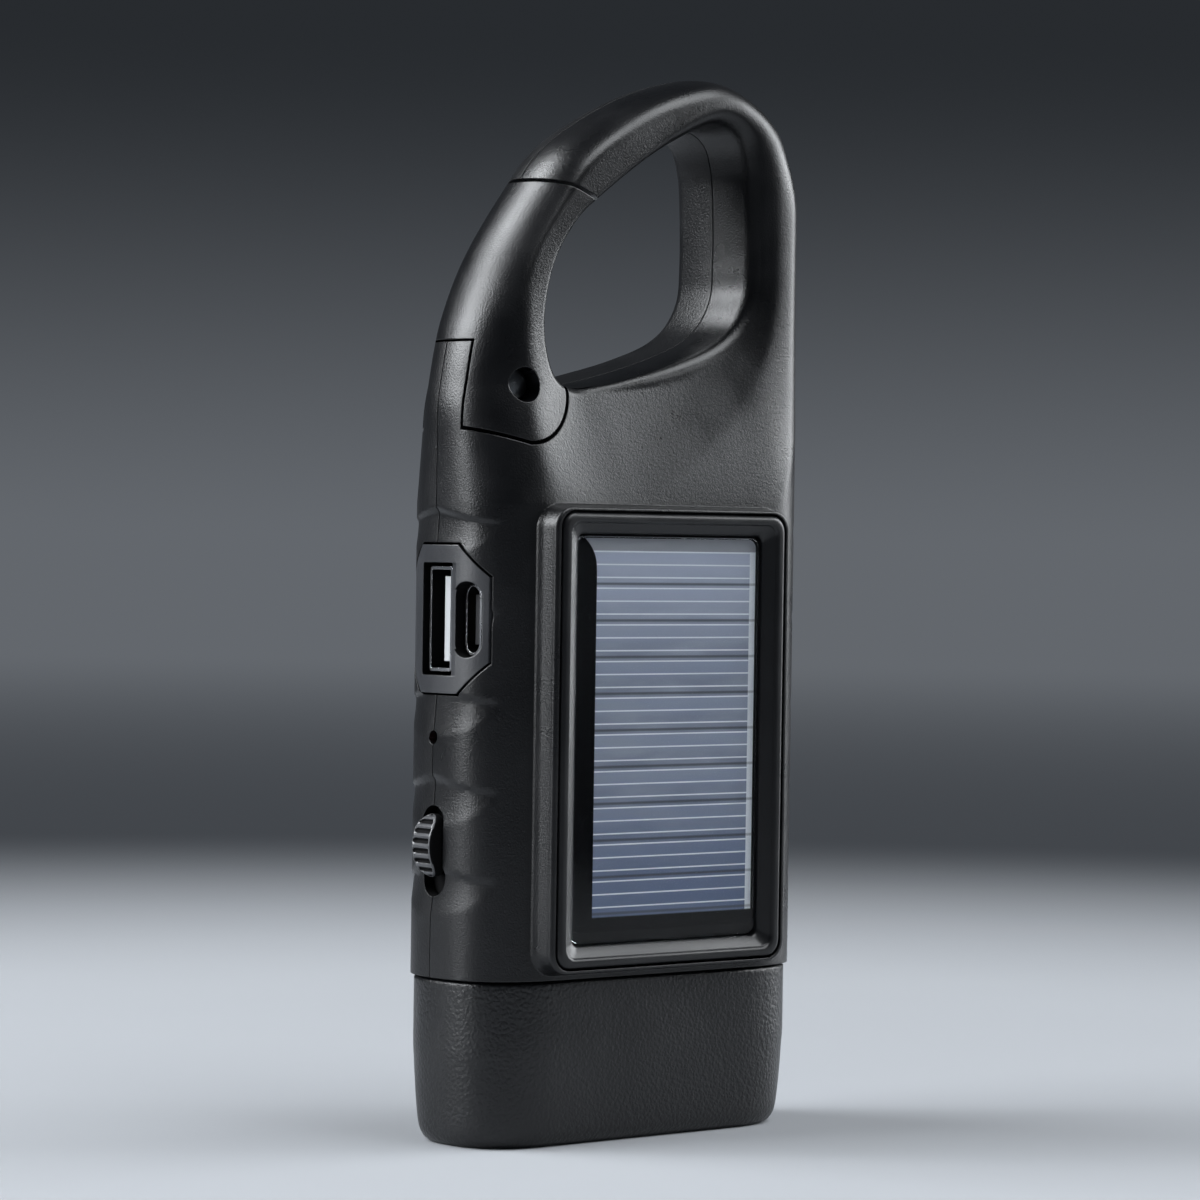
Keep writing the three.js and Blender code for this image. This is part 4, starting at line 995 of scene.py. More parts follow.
@dataclass
class ShellForm:
    """Outer form of body and hook, from which the two halves and the gate are cut.

    The crease is how far the scoop drops beside the spine and over what distance. The rim's radius
    is given left and right. Crease across, crease up and rim across are where a blend starts and
    how far it runs.
    """

    half_width: float = 27.7
    foot: float = 21.1
    shoulder: float = 88.0
    arch: float = 48.1
    front_depth: float = 11.5
    rear_depth: float = 11.2
    side_round: float = 13.0
    front_power: float = 2.6
    rear_power: float = 2.2
    hook_round: float = 5.5
    hook_power: float = 2.0
    hook_rise: float = 28.0
    edge_blend: float = 2.2
    hook_depth: float = 7.5
    gate_depth: float = 8.5
    side_blend: float = 1.2
    scoop_slope: float = 0.258
    crease: Pair = (0.85, 0.9)
    spine_slope: float = 0.138
    spine_lip: float = 0.9
    rim: Pair = (1.0, 2.1)
    hole_draft: float = 0.95
    seam: float = 0.06
    gap: float = 0.3
    wall: float = 1.8
    block_top: float = 80.4
    pin: Pair = (-20.4, 95.2)
    gate_foot: float = 7.0
    gate_length: float = 26.4
    gate_gap: float = 0.5
    gate_heel: float = 1.9
    lug_half: float = 4.0
    lug_radius: float = 5.4
    lug_top: float = 5.3
    lug_stem: float = 3.8
    scallop_first: float = 32.1
    scallop_pitch: float = 11.15
    scallop_half: float = 3.3
    scallop_depth: float = 0.5
    scallop_fall: float = 2.0
    scallop_edge: float = 0.13
    scallop_reach: float = 9.0
    scallop_power: float = 1.6
    scallops: int = 5
    side_steps: int = 210
    arch_steps: int = 12
    side_rows: int = 40
    flat_rows: int = 18
    rim_rows: int = 15
    side_power: float = 1.4
    turn_power: float = 1.25
    rim_share: float = 0.35
    rim_band: float = 2.6
    least_flat: float = 0.4
    face_blend: float = 0.4
    spine_blend: float = 1.0
    lip_reach: float = 16.0
    crease_across: Pair = (-15.0, 24.0)
    crease_up: Pair = (126.0, 14.0)
    rim_across: Pair = (-6.0, 20.0)
    pin_bore: float = 1.35
    margin: float = 6.0
    loop_middle: Pair = (0.83, 112.05)
    arch_shares: Points = field(default_factory=lambda: np.array([
        [-1, 0], [-1, 0.09], [-0.982, 0.167], [-0.955, 0.25], [-0.92, 0.327], [-0.8, 0.485],
        [-0.585, 0.667], [-0.415, 0.783], [-0.069, 0.906], [0.227, 0.973], [0.477, 1], [0.646, 0.975],
        [0.848, 0.894], [0.942, 0.792], [0.993, 0.69], [1, 0.52], [1, 0.36], [1, 0.22], [1, 0.13],
        [1, 0.06], [1, 0],
    ]))
    hole_shares: Points = field(default_factory=lambda: np.array([
        [0, 0.193], [-0.26, 0.158], [-0.437, 0.148], [-0.53, 0.18], [-0.59, 0.3], [-0.538, 0.466],
        [-0.4, 0.59], [-0.278, 0.649], [0, 0.76], [0.2, 0.822], [0.415, 0.871], [0.5, 0.868],
        [0.585, 0.835], [0.63, 0.765], [0.645, 0.678], [0.65, 0.5], [0.635, 0.41], [0.56, 0.335],
        [0.437, 0.281], [0.22, 0.231], [0, 0.193],
    ]))

    def curve(self, shares: Points) -> Points:
        """A share table as a smooth curve in millimetres."""
        reach = np.array([self.half_width, self.arch])
        made = spline(shares * reach + [0.0, self.shoulder], self.arch_steps)
        return np.minimum(made, reach + [0.0, self.shoulder - 0.01])

    def rays(self) -> tuple[Points, Points, Points]:
        """Rays from the outline in to the loop hole, or to the centre line below it.

        Returns:
            Outer ends, inner ends, and which of them end at the hole.
        """
        outer, inner = self.curve(self.arch_shares), self.curve(self.hole_shares)
        share = 1 - (1 - np.arange(self.side_steps) / self.side_steps) ** self.side_power
        level = self.foot + (self.shoulder - self.foot) * share
        centre = self.foot + (inner[0, 1] - self.foot) * share
        left = np.stack([np.full_like(level, -self.half_width), level], 1)
        middle = np.stack([np.zeros_like(level), centre], 1)
        right = left * [-1, 1]
        outside = np.concatenate([left, outer, right[::-1]])
        inside = np.concatenate([middle, inner, middle[::-1]])
        hole = np.zeros(len(outside), bool)
        hole[self.side_steps : self.side_steps + len(outer)] = True
        return outside, inside, hole

    def steps(self, length: Points) -> Points:
        """Shares along each ray: close together round the side and at the rim, wider between."""
        rim = np.minimum(self.rim_band, length * self.rim_share)
        side = np.minimum(self.side_round, length - rim - self.least_flat)
        most = np.arccos((1 - side / self.side_round) ** (self.front_power / 2))
        turn = most[:, None] * (np.arange(self.side_rows) / self.side_rows) ** self.turn_power
        first = self.side_round * (1 - np.cos(turn) ** (2 / self.front_power))
        flat = (length - rim - side)[:, None] * (np.arange(self.flat_rows) / self.flat_rows)
        flat += side[:, None]
        last = (length - rim)[:, None] + rim[:, None] * np.linspace(0, 1, self.rim_rows)
        return np.concatenate([first, flat, last], 1) / length[:, None]

    def raised(self, spot: Points) -> Points:
        """0 on the body and 1 on the hook, evenly between."""
        return np.clip((spot[..., 1] - self.block_top) / (self.pin[1] - self.block_top), 0, 1)

    def gate_side(self, spot: Points) -> Points:
        """1 on the gate's side, falling evenly to 0 on the other."""
        across = (spot[..., 0] + self.half_width / 2) / (self.half_width * self.side_blend)
        return 1 - np.clip(across, 0, 1)

    def round_side(self, spot: Points, inward: Points, depth: Points, power: float) -> Points:
        """Depth over the side's rounding, a quarter of a superellipse, tighter on the gate's front."""
        up = np.clip((spot[..., 1] - self.block_top) / self.hook_rise, 0, 1) * (power == self.front_power)
        up = up * self.gate_side(spot)
        reach = self.side_round + (self.hook_round - self.side_round) * up
        power = power + (self.hook_power - power) * up
        share = 1 - np.minimum(inward, reach) / reach
        return depth * (1 - share**power) ** (1 / power)

    def side_depth(self, spot: Points, depth: float) -> Points:
        """Depth of the side's rounding, less on the gate's side of the hook."""
        return depth + (self.gate_depth - depth) * self.raised(spot) * self.gate_side(spot)

    def face(self, spot: Points, from_hole: Points) -> Points:
        """Depth of the front face: a scoop that rises away from the loop, cut by the spine's plane.

        The spine's plane falls with height until it levels out, a little higher on the right. The
        scoop is hollow: on the right it drops below its plane, by a share that closes in on the
        full drop exponentially as the two planes part, so that it meets the spine in a crease.
        """
        scoop = self.hook_depth + self.scoop_slope * from_hole
        spine = self.front_depth - self.spine_slope * (spot[..., 1] - self.block_top)
        lip = self.spine_lip * np.clip(spot[..., 0] / self.lip_reach, 0, 1) ** 2
        spine = -soft_least(-spine, -(self.hook_depth + lip), self.spine_blend)
        drop, within = self.crease
        left, across = self.crease_across
        top, up = self.crease_up
        fade = drop * soft_step((spot[..., 0] - left) / across) * soft_step((top - spot[..., 1]) / up)
        scoop = scoop - fade * (1 - np.exp(-np.maximum(spine - scoop, 0) / within))
        return np.maximum(self.hook_depth, soft_least(scoop, spine, self.face_blend))

    def rear_face(self, spot: Points) -> Points:
        """Depth of the rear face, which steps down from the body to the hook."""
        up = soft_step((spot[..., 1] - self.shoulder) / self.hook_depth)
        return self.rear_depth + (self.hook_depth - self.rear_depth) * up

    def rim_drop(self, spot: Points, from_hole: Points) -> Points:
        """How far the face falls over the loop's rim, a quarter circle that is wider on the right."""
        left, across = self.rim_across
        wider = soft_step((spot[..., 0] - left) / across)
        rim = self.rim[0] + (self.rim[1] - self.rim[0]) * wider
        inward = rim - np.minimum(from_hole, rim)
        return rim - np.sqrt(np.maximum(0, rim**2 - inward**2))

    def scallop(self, height: Points, depth: Points) -> Points:
        """Depth of a finger scallop on the side, fading out towards the face.

        Its top is a straight crease that falls towards the face and its foot is an ellipse's arc.
        It drops from the crease in a smooth step, and rises to the foot as 1 less a power.
        """
        turn = np.round((height - self.scallop_first) / self.scallop_pitch)
        level = self.scallop_first + turn * self.scallop_pitch + self.scallop_half
        fade = np.sqrt(np.clip(1 - (depth / self.scallop_reach) ** 2, 0, 1))
        top = level - self.scallop_fall * depth / self.scallop_reach
        foot = level - self.scallop_fall - (2 * self.scallop_half - self.scallop_fall) * fade
        share = (top - height) / np.maximum(top - foot, 1e-6)
        inside = (turn >= 0) & (turn < self.scallops) & (share > 0) & (share < 1)
        drop = share / self.scallop_edge
        rise = np.clip((share - self.scallop_edge) / (1 - self.scallop_edge), 0, 1)
        hollow = soft_step(drop) * (1 - rise**self.scallop_power)
        return np.where(inside, self.scallop_depth * fade * hollow, 0)

    def surface(self, front: bool) -> Points:
        """One side of the form over the rays, as points (rays, steps, 3)."""
        outer, inner, hole = self.rays()
        middle = np.array(self.loop_middle)
        if not front:
            inner = np.where(hole[:, None], middle + (inner - middle) * self.hole_draft, inner)
        share = self.steps(np.linalg.norm(inner - outer, axis=1))[..., None]
        spot = outer[:, None] + (inner - outer)[:, None] * share
        inward = to_line(spot, outer)
        from_hole = to_line(spot, inner[hole])
        from_hole[hole, -1] = 0
        deep = self.front_depth if front else self.rear_depth
        power = self.front_power if front else self.rear_power
        side = self.round_side(spot, inward, self.side_depth(spot, deep), power)
        face = self.face(spot, from_hole) if front else self.rear_face(spot)
        across = np.clip(spot[..., 0] / self.half_width + 0.5, 0, 1)
        blend = self.face_blend + self.edge_blend * soft_step(self.raised(spot)) * across
        depth = soft_least(side, face, blend) - self.rim_drop(spot, from_hole)
        depth[:, 0] = 0
        dip = self.scallop(spot[..., 1], np.minimum(depth, self.scallop_reach)) * (inward < self.side_round)
        x = spot[..., 0] - np.sign(spot[..., 0]) * np.minimum(dip, np.abs(spot[..., 0]))
        return np.stack([x, -depth if front else depth, spot[..., 1]], -1)

    def build(self) -> Solid:
        """The whole form, front and rear together, as one closed solid."""
        front, rear = self.surface(True), self.surface(False)
        rays, last = front.shape[:2]
        hole = self.rays()[2]
        number = np.arange(rays * last).reshape(rays, last)
        back = number + rays * last
        quads = [
            grid_of(number),
            grid_of(back)[:, ::-1],
            grid_of(np.stack([number[hole, -1], back[hole, -1]])),
            grid_of(np.stack([back[0], number[0]])),
            grid_of(np.stack([number[-1], back[-1]])),
        ]
        points = np.concatenate([front.reshape(-1, 3), rear.reshape(-1, 3)])
        made = make_object("form", points, [np.concatenate(quads)])
        weld(made)
        return made

    def half(self, front: bool) -> Solid:
        """A box that holds everything on one side of the seam."""
        low, high = (-BEYOND, -self.seam) if front else (self.seam, BEYOND)
        return box_solid("half", (-BEYOND, low, -BEYOND), (BEYOND, high, BEYOND))

    def section(self, inset: float, steps: int = 28) -> Points:
        """The body's level section, drawn in by an inset, as points (n, 2) in X and Y.

        Each corner is a quarter of a superellipse: x = cos t ^ (2 / p), y = sin t ^ (2 / p).
        """
        width, turn = self.half_width - inset, self.side_round - inset
        t = np.radians(90) * (np.arange(steps + 1) / steps)
        corners = []
        for across, back in ((1, 1), (-1, 1), (-1, -1), (1, -1)):
            angle = t if across == back else t[::-1]
            power = self.rear_power if back > 0 else self.front_power
            depth = (self.rear_depth if back > 0 else self.front_depth) - inset
            x = width - turn + turn * np.clip(np.cos(angle), 0, 1) ** (2 / power)
            y = depth * np.clip(np.sin(angle), 0, 1) ** (2 / power)
            corners.append(np.stack([across * x, back * y], 1))
        return np.concatenate(corners)

    def rings(self, profile: Points) -> Points:
        """Sections stacked by a profile of (inset, height) pairs."""
        return np.stack([at_level(self.section(inset), height, 2) for inset, height in profile])

    def section_solid(self, inset: float, low: float, high: float) -> Solid:
        """The level section between two heights."""
        return prism("section", self.section(inset), low, high, axis=2)

    def gate_outline(self, grow: float) -> Points:
        """The gate's outline: its foot turns about the pin, its tip is an arc about it."""
        foot = self.gate_foot + grow
        far = self.half_width + self.margin
        run = (far + self.pin[0]) / (self.half_width + self.pin[0])
        return np.concatenate([
            [[-far, self.pin[1] - foot + self.gate_heel * run]],
            arc(self.pin, foot, -90, 15, 24),
            [self.loop_middle],
            arc(self.pin, self.gate_length + grow, 50, 140, 48),
        ])

    def lug(self, grow: float) -> Solid:
        """The body's lug between the gate's cheeks, round about the pin."""
        front, rear = -(self.lug_half + grow), self.lug_half + grow
        low = self.pin[1] - self.gate_foot - self.gate_gap - self.margin
        made = prism("lug", circle(self.pin, self.lug_radius + grow), front, rear)
        outer = (self.pin[0], rear, self.pin[1] + self.lug_top + grow)
        inner = (self.pin[0] + self.lug_stem, rear, self.pin[1])
        combine(made, [
            box_solid("side", (-BEYOND, front, low), outer),
            box_solid("stem", (self.pin[0] - self.lug_radius, front, low), inner),
        ], Join.ADD)
        return made


@dataclass
class PortSizes:
    """Sizes of the ports, lamp and switch on the left side."""

    height: float = 65.9
    tall: float = 18.5
    flat: float = 10.6
    front: float = 8.0
    rear: float = 7.0
    thick: float = 3.2
    usb_a: Pair = (4.6, 13.1)
    usb_c: Pair = (3.2, 8.9)
    usb_c_y: float = -5.4
    mouth: float = 0.5
    lamp: float = 51.1
    lamp_radius: float = 0.85
    switch: float = 36.9
    slot: Pair = (4.4, 11.4)
    button: float = 7.9
    rise: float = 0.7
    proud: float = 1.8
    ribs: int = 7

    def octagon(self, grow: float) -> Points:
        """The port plate's outline in Y and Z."""
        tall, flat = self.tall / 2 + grow, self.flat / 2 + grow / 2
        front, rear, z = -(self.front + grow), self.rear + grow, self.height
        cut = tall - flat
        return np.array([
            [front, z - flat], [front + cut, z - tall], [rear - cut, z - tall], [rear, z - flat],
            [rear, z + flat], [rear - cut, z + tall], [front + cut, z + tall], [front, z + flat],
        ])


@dataclass
class Shell:
    """The two halves of the body, with the raised surround of the solar panel."""

    form: ShellForm
    ports: PortSizes
    block: Pair = (19.5, 29.05)
    block_middle: float = 51.05
    block_front: float = -13.9
    block_round: float = 2.7
    block_edge: float = 0.5
    block_out: float = 0.05
    block_in: float = 2.0
    corner_share: float = 0.6
    block_flare: tuple[Pair, ...] = (
        (0.95, -8.9), (0.95, -11.0), (0.8, -11.35), (0.55, -11.65), (0.42, -12.1), (0.1, -13.1),
    )
    pocket: Pair = (18.8, 28.65)
    pocket_floor: float = -10.3
    shelf: float = -8.8
    cavity_top: float = 86.2
    brow: Pair = (78.5, -7.2)
    crank: Pair = (0.0, 46.0)
    bush: float = 4.9
    screws: tuple[Pair, ...] = (
        (-21.7, 26.8), (21.7, 26.8), (-21.7, 81.4), (21.7, 81.4), (22.8525, 112.05),
    )
    screw_head: float = 2.4
    screw_bore: float = 1.25
    screw_play: float = 0.15
    screw_tip: float = -6.3
    boss: float = 3.0
    boss_ends: Pair = (-9.0, 8.6)
    boss_inset: float = 0.6
    slot_front: float = -26.0
    slot_back: float = -24.1
    slot_play: float = 0.1
    pocket_round: float = 2.3
    wires: Triple = (0.0, 36.875, 1.8)
    screw_seats: tuple[float, ...] = (7.87, 7.87, 7.87, 7.87, 4.9)

    def surround(self) -> Solid:
        """The raised panel surround: a slab with round edges and a flared foot."""
        w, h = self.block
        edge = self.block_edge
        profile = np.concatenate([
            self.block_flare,
            arc((self.block_out - edge, self.block_front + edge), edge, 0, -90, 6),
            [[-self.block_in, self.block_front]],
        ])
        rings = []
        for out, y in profile:
            corner = self.block_round + out * self.corner_share
            outline = rounded_box((w + out, h + out / 2), corner, self.block_middle)
            rings.append(at_level(outline, y))
        return loft("surround", np.array(rings))

    def cavity(self, front: bool) -> Solid:
        """The hollow inside, less the panel's bed in front."""
        made = self.form.section_solid(
            self.form.wall, self.form.foot - self.form.margin, self.cavity_top
        )
        if front:
            w, h = self.block
            low = (-w, -BEYOND, self.block_middle - h)
            bed = box_solid("bed", low, (w, self.shelf, self.block_middle + h))
            brow = box_solid("brow", (-BEYOND, -BEYOND, self.brow[0]), (BEYOND, self.brow[1], BEYOND))
            combine(made, [bed, brow], Join.CUT)
        return made

    def cuts(self, front: bool) -> list[Solid]:
        """Everything that is cut from a half: gate, ports, lamp, switch and screws."""
        form, ports = self.form, self.ports
        clear = prism("clear", form.gate_outline(form.gate_gap), -BEYOND, BEYOND)
        combine(clear, [form.lug(0)], Join.CUT)
        plate_back = -(form.half_width - ports.thick) + form.wall * 2
        found = [
            clear,
            prism("ports", ports.octagon(form.gap), -BEYOND, plate_back, axis=0),
            prism("lamp", circle((0, ports.lamp), ports.lamp_radius), -BEYOND, 0, axis=0),
            prism("slot", stadium((0, ports.switch), *ports.slot), -BEYOND, self.slot_back, axis=0),
            rod(form.pin_bore, form.pin, -BEYOND, BEYOND),
        ]
        for place, seat in zip(self.screws, self.screw_seats):
            found.append(rod(self.screw_bore, place, self.screw_tip, seat + form.gap))
            if not front:
                found.append(rod(self.screw_head, place, seat - self.screw_play, BEYOND))
        return found

    def painted_slot_shade(self, spot: Points, normal: Points) -> Points:
        """True on the walls of the switch's slot and behind it, which get painted shade."""
        wide, long = self.ports.slot
        near = np.abs(spot[:, 1]) < wide / 2 + self.slot_play
        near &= np.abs(spot[:, 2] - self.ports.switch) < long / 2 + self.slot_play
        behind = (spot[:, 0] > self.slot_front) | (np.abs(normal[:, 0]) < 0.5)
        return near & (spot[:, 0] < 0) & behind

    def bosses(self, front: bool) -> Solid:
        """Screw pillars inside the hollow, trimmed to the outer form's own section."""
        seam, (low, high) = self.form.seam, self.boss_ends
        ends = (low, -seam) if front else (seam, high)
        made, *others = [rod(self.boss, place, *ends) for place in self.screws[:4]]
        combine(made, others, Join.ADD)
        combine(made, [self.form.section_solid(self.boss_inset, 0, BEYOND)], Join.KEEP)
        return made

    def own_cuts(self, front: bool) -> list[Solid]:
        """What only one half has: the panel's pocket and wire hole, or the crank's bore."""
        if not front:
            return [rod(self.bush, self.crank, 0, BEYOND)]
        outline = rounded_box(self.pocket, self.pocket_round, self.block_middle)
        x, z, radius = self.wires
        return [
            prism("pocket", outline, -BEYOND, self.pocket_floor),
            rod(radius, (x, z), -self.form.front_depth, 0),
        ]

    def half(self, whole: Solid, front: bool, name: str, node: str, finish: Finish) -> None:
        """Makes one half.

        Args:
            whole: the closed outer form, which is left as it is.
            front: whether it is the front half.
            name: the piece's name.
            node: the CAD node that it stands for.
            finish: its finish.
        """
        made = copy_of(whole, name)
        combine(made, [self.form.half(front)], Join.KEEP)
        hollow = [self.cavity(front)]
        if front:
            combine(made, [self.surround()], Join.ADD)
            corner = (BEYOND, BEYOND, self.form.foot)
            hollow.insert(0, box_solid("under", (-BEYOND, -BEYOND, -BEYOND), corner))
        combine(made, hollow, Join.CUT)
        combine(made, [self.bosses(front)], Join.ADD)
        combine(made, self.cuts(front) + self.own_cuts(front), Join.CUT)
        settle(made, "housing", [node], finish)
        # Painted shade: the slot's walls and what lies behind them turn near black.
        paint(made, Palette.deep, self.painted_slot_shade)

    def build(self, whole: Solid) -> None:
        """Makes both halves from the whole outer form."""
        self.half(whole, True, "front_half", "front_shell", Palette.shell)
        self.half(whole, False, "rear_half", "rear_shell", Palette.rear)


@dataclass
class Gate:
    """The sprung gate of the hook and its pin."""

    form: ShellForm
    recess: float = 2.2
    recess_floor: float = -5.45
    bore_end: float = 6.5
    pin_head: float = 1.9
    pin_rise: float = 0.55
    pin_edge: float = 0.35
    head_depth: float = 1.0
    pin_radius: float = 1.2
    pin_chamfer: float = 0.15

    def build(self, whole: Solid) -> None:
        """Cuts the gate from the whole outer form."""
        form = self.form
        slot = form.lug(form.gap)
        far = (form.pin[0] + form.gate_foot + form.gate_gap, form.lug_half + form.gap, form.pin[1])
        combine(slot, [box_solid("run", (-BEYOND, -form.lug_half - form.gap, 0), far)], Join.ADD)
        arm = copy_of(whole, "gate_lever")
        combine(arm, [prism("keep", form.gate_outline(0), -BEYOND, BEYOND)], Join.KEEP)
        combine(arm, [
            slot,
            rod(form.pin_bore, form.pin, -BEYOND, self.bore_end),
            rod(self.recess, form.pin, -BEYOND, self.recess_floor),
        ], Join.CUT)
        settle(arm, "gate", ["gate_arm"], Palette.shell)
        self.pin_piece()

    def pin_piece(self) -> None:
        """The pivot pin: a turned shank with a domed head in the recess."""
        front, rear = PLACE.depths("gate_pin")
        turn = np.radians(np.linspace(90, 12, 9))
        dome = np.stack([front + self.pin_rise * (1 - np.sin(turn)), self.pin_head * np.cos(turn)], 1)
        under, radius, chamfer = front + self.head_depth, self.pin_radius, self.pin_chamfer
        shank = [
            [front + self.pin_rise + self.pin_edge, self.pin_head], [under, self.pin_head - HAIR],
            [under, radius], [rear - chamfer, radius], [rear, radius - chamfer],
        ]
        profile = np.concatenate([[[front, HAIR]], dome[1:], shank])
        made = turned("pivot", profile, self.form.pin, 1, 48)
        settle(made, "gate", ["gate_pin"], Palette.dark_steel, sharp=40)


# Solar panel


@dataclass
class SolarPanel:
    """The framed solar panel: bezel, cell sheet and clear domed cover.

    The bezel's slope and the cover's profile are pairs of the inset and Y. Cells are the sheet's
    left, right, foot and top.
    """

    half: Pair = (18.5, 28.35)
    middle: float = 51.05
    corner: float = 2.0
    back: float = -11.9
    front: float = -14.2
    border: float = 3.05
    rim: Pair = (0.62, 0.5)
    rim_flat: float = 1.0
    slope: tuple[Pair, ...] = ((2.2, -13.5), (2.85, -13.12), (3.0, -13.0), (3.05, -12.85))
    end_border: float = 2.6
    cover: Pair = (15.15, 25.45)
    cover_corner: float = 1.2
    cover_profile: tuple[Pair, ...] = (
        (0.0, -12.1), (0.0, -12.72), (0.03, -12.78), (0.09, -12.83), (0.2, -12.87), (0.5, -12.91),
        (1.2, -12.945), (2.4, -12.975), (5.0, -12.992), (10.0, -13.0),
    )
    cells: tuple[float, float, float, float] = (-14.6, 15.0, 26.9, 76.2)
    cell_back: float = -11.7
    cell_thick: float = 0.25

    def ring(self, half: Pair, corner: float, y: float) -> Points:
        """A rounded panel outline at a depth."""
        return at_level(rounded_box(half, corner, self.middle), y)

    def bezel(self) -> None:
        """The frame: a profile of (inset, depth) carried round the outline, its rim rolled over.

        The profile runs up the outer wall, over a half-round rim and down the slope to the window.
        """
        rim, shoulder = self.rim
        profile = np.concatenate([
            [[0.0, self.back]],
            arc((rim, self.front + rim), rim, 180, 270, 7),
            arc((self.rim_flat, self.front + shoulder), shoulder, -90, 0, 7)[:-1],
            self.slope,
            [[self.border, self.back]],
        ])
        rings = [
            self.ring(
                (self.half[0] - inset, self.half[1] - inset * self.end_border / self.border),
                self.corner - inset / self.border, y,
            )
            for inset, y in profile
        ]
        made = closed_sweep("panel_frame", np.array(rings))
        settle(made, "housing", ["solar_bezel"], Palette.bezel, sharp=40)

    def dome(self) -> None:
        """The clear cover: its edge rolls over into a face that is a little crowned."""
        w, h = self.cover
        rings = [
            self.ring((w - inset, h - inset), max(1.0, self.cover_corner - inset), y)
            for inset, y in self.cover_profile
        ]
        made = loft("panel_cover", np.array(rings))
        settle(made, "housing", ["solar_cover"], Palette.clear, sharp=60)

    def sheet(self) -> None:
        """The cell sheet behind the cover."""
        left, right, low, high = self.cells
        outline = rounded_box(((right - left) / 2, (high - low) / 2), 1.0, (high + low) / 2)
        outline += [(left + right) / 2, 0]
        made = prism("cell_sheet", outline, self.cell_back - self.cell_thick, self.cell_back)
        settle(made, "housing", ["solar_cells"], CellFinish())

    def build(self) -> None:
        """Makes the frame, the sheet and the cover."""
        self.bezel()
        self.sheet()
        self.dome()


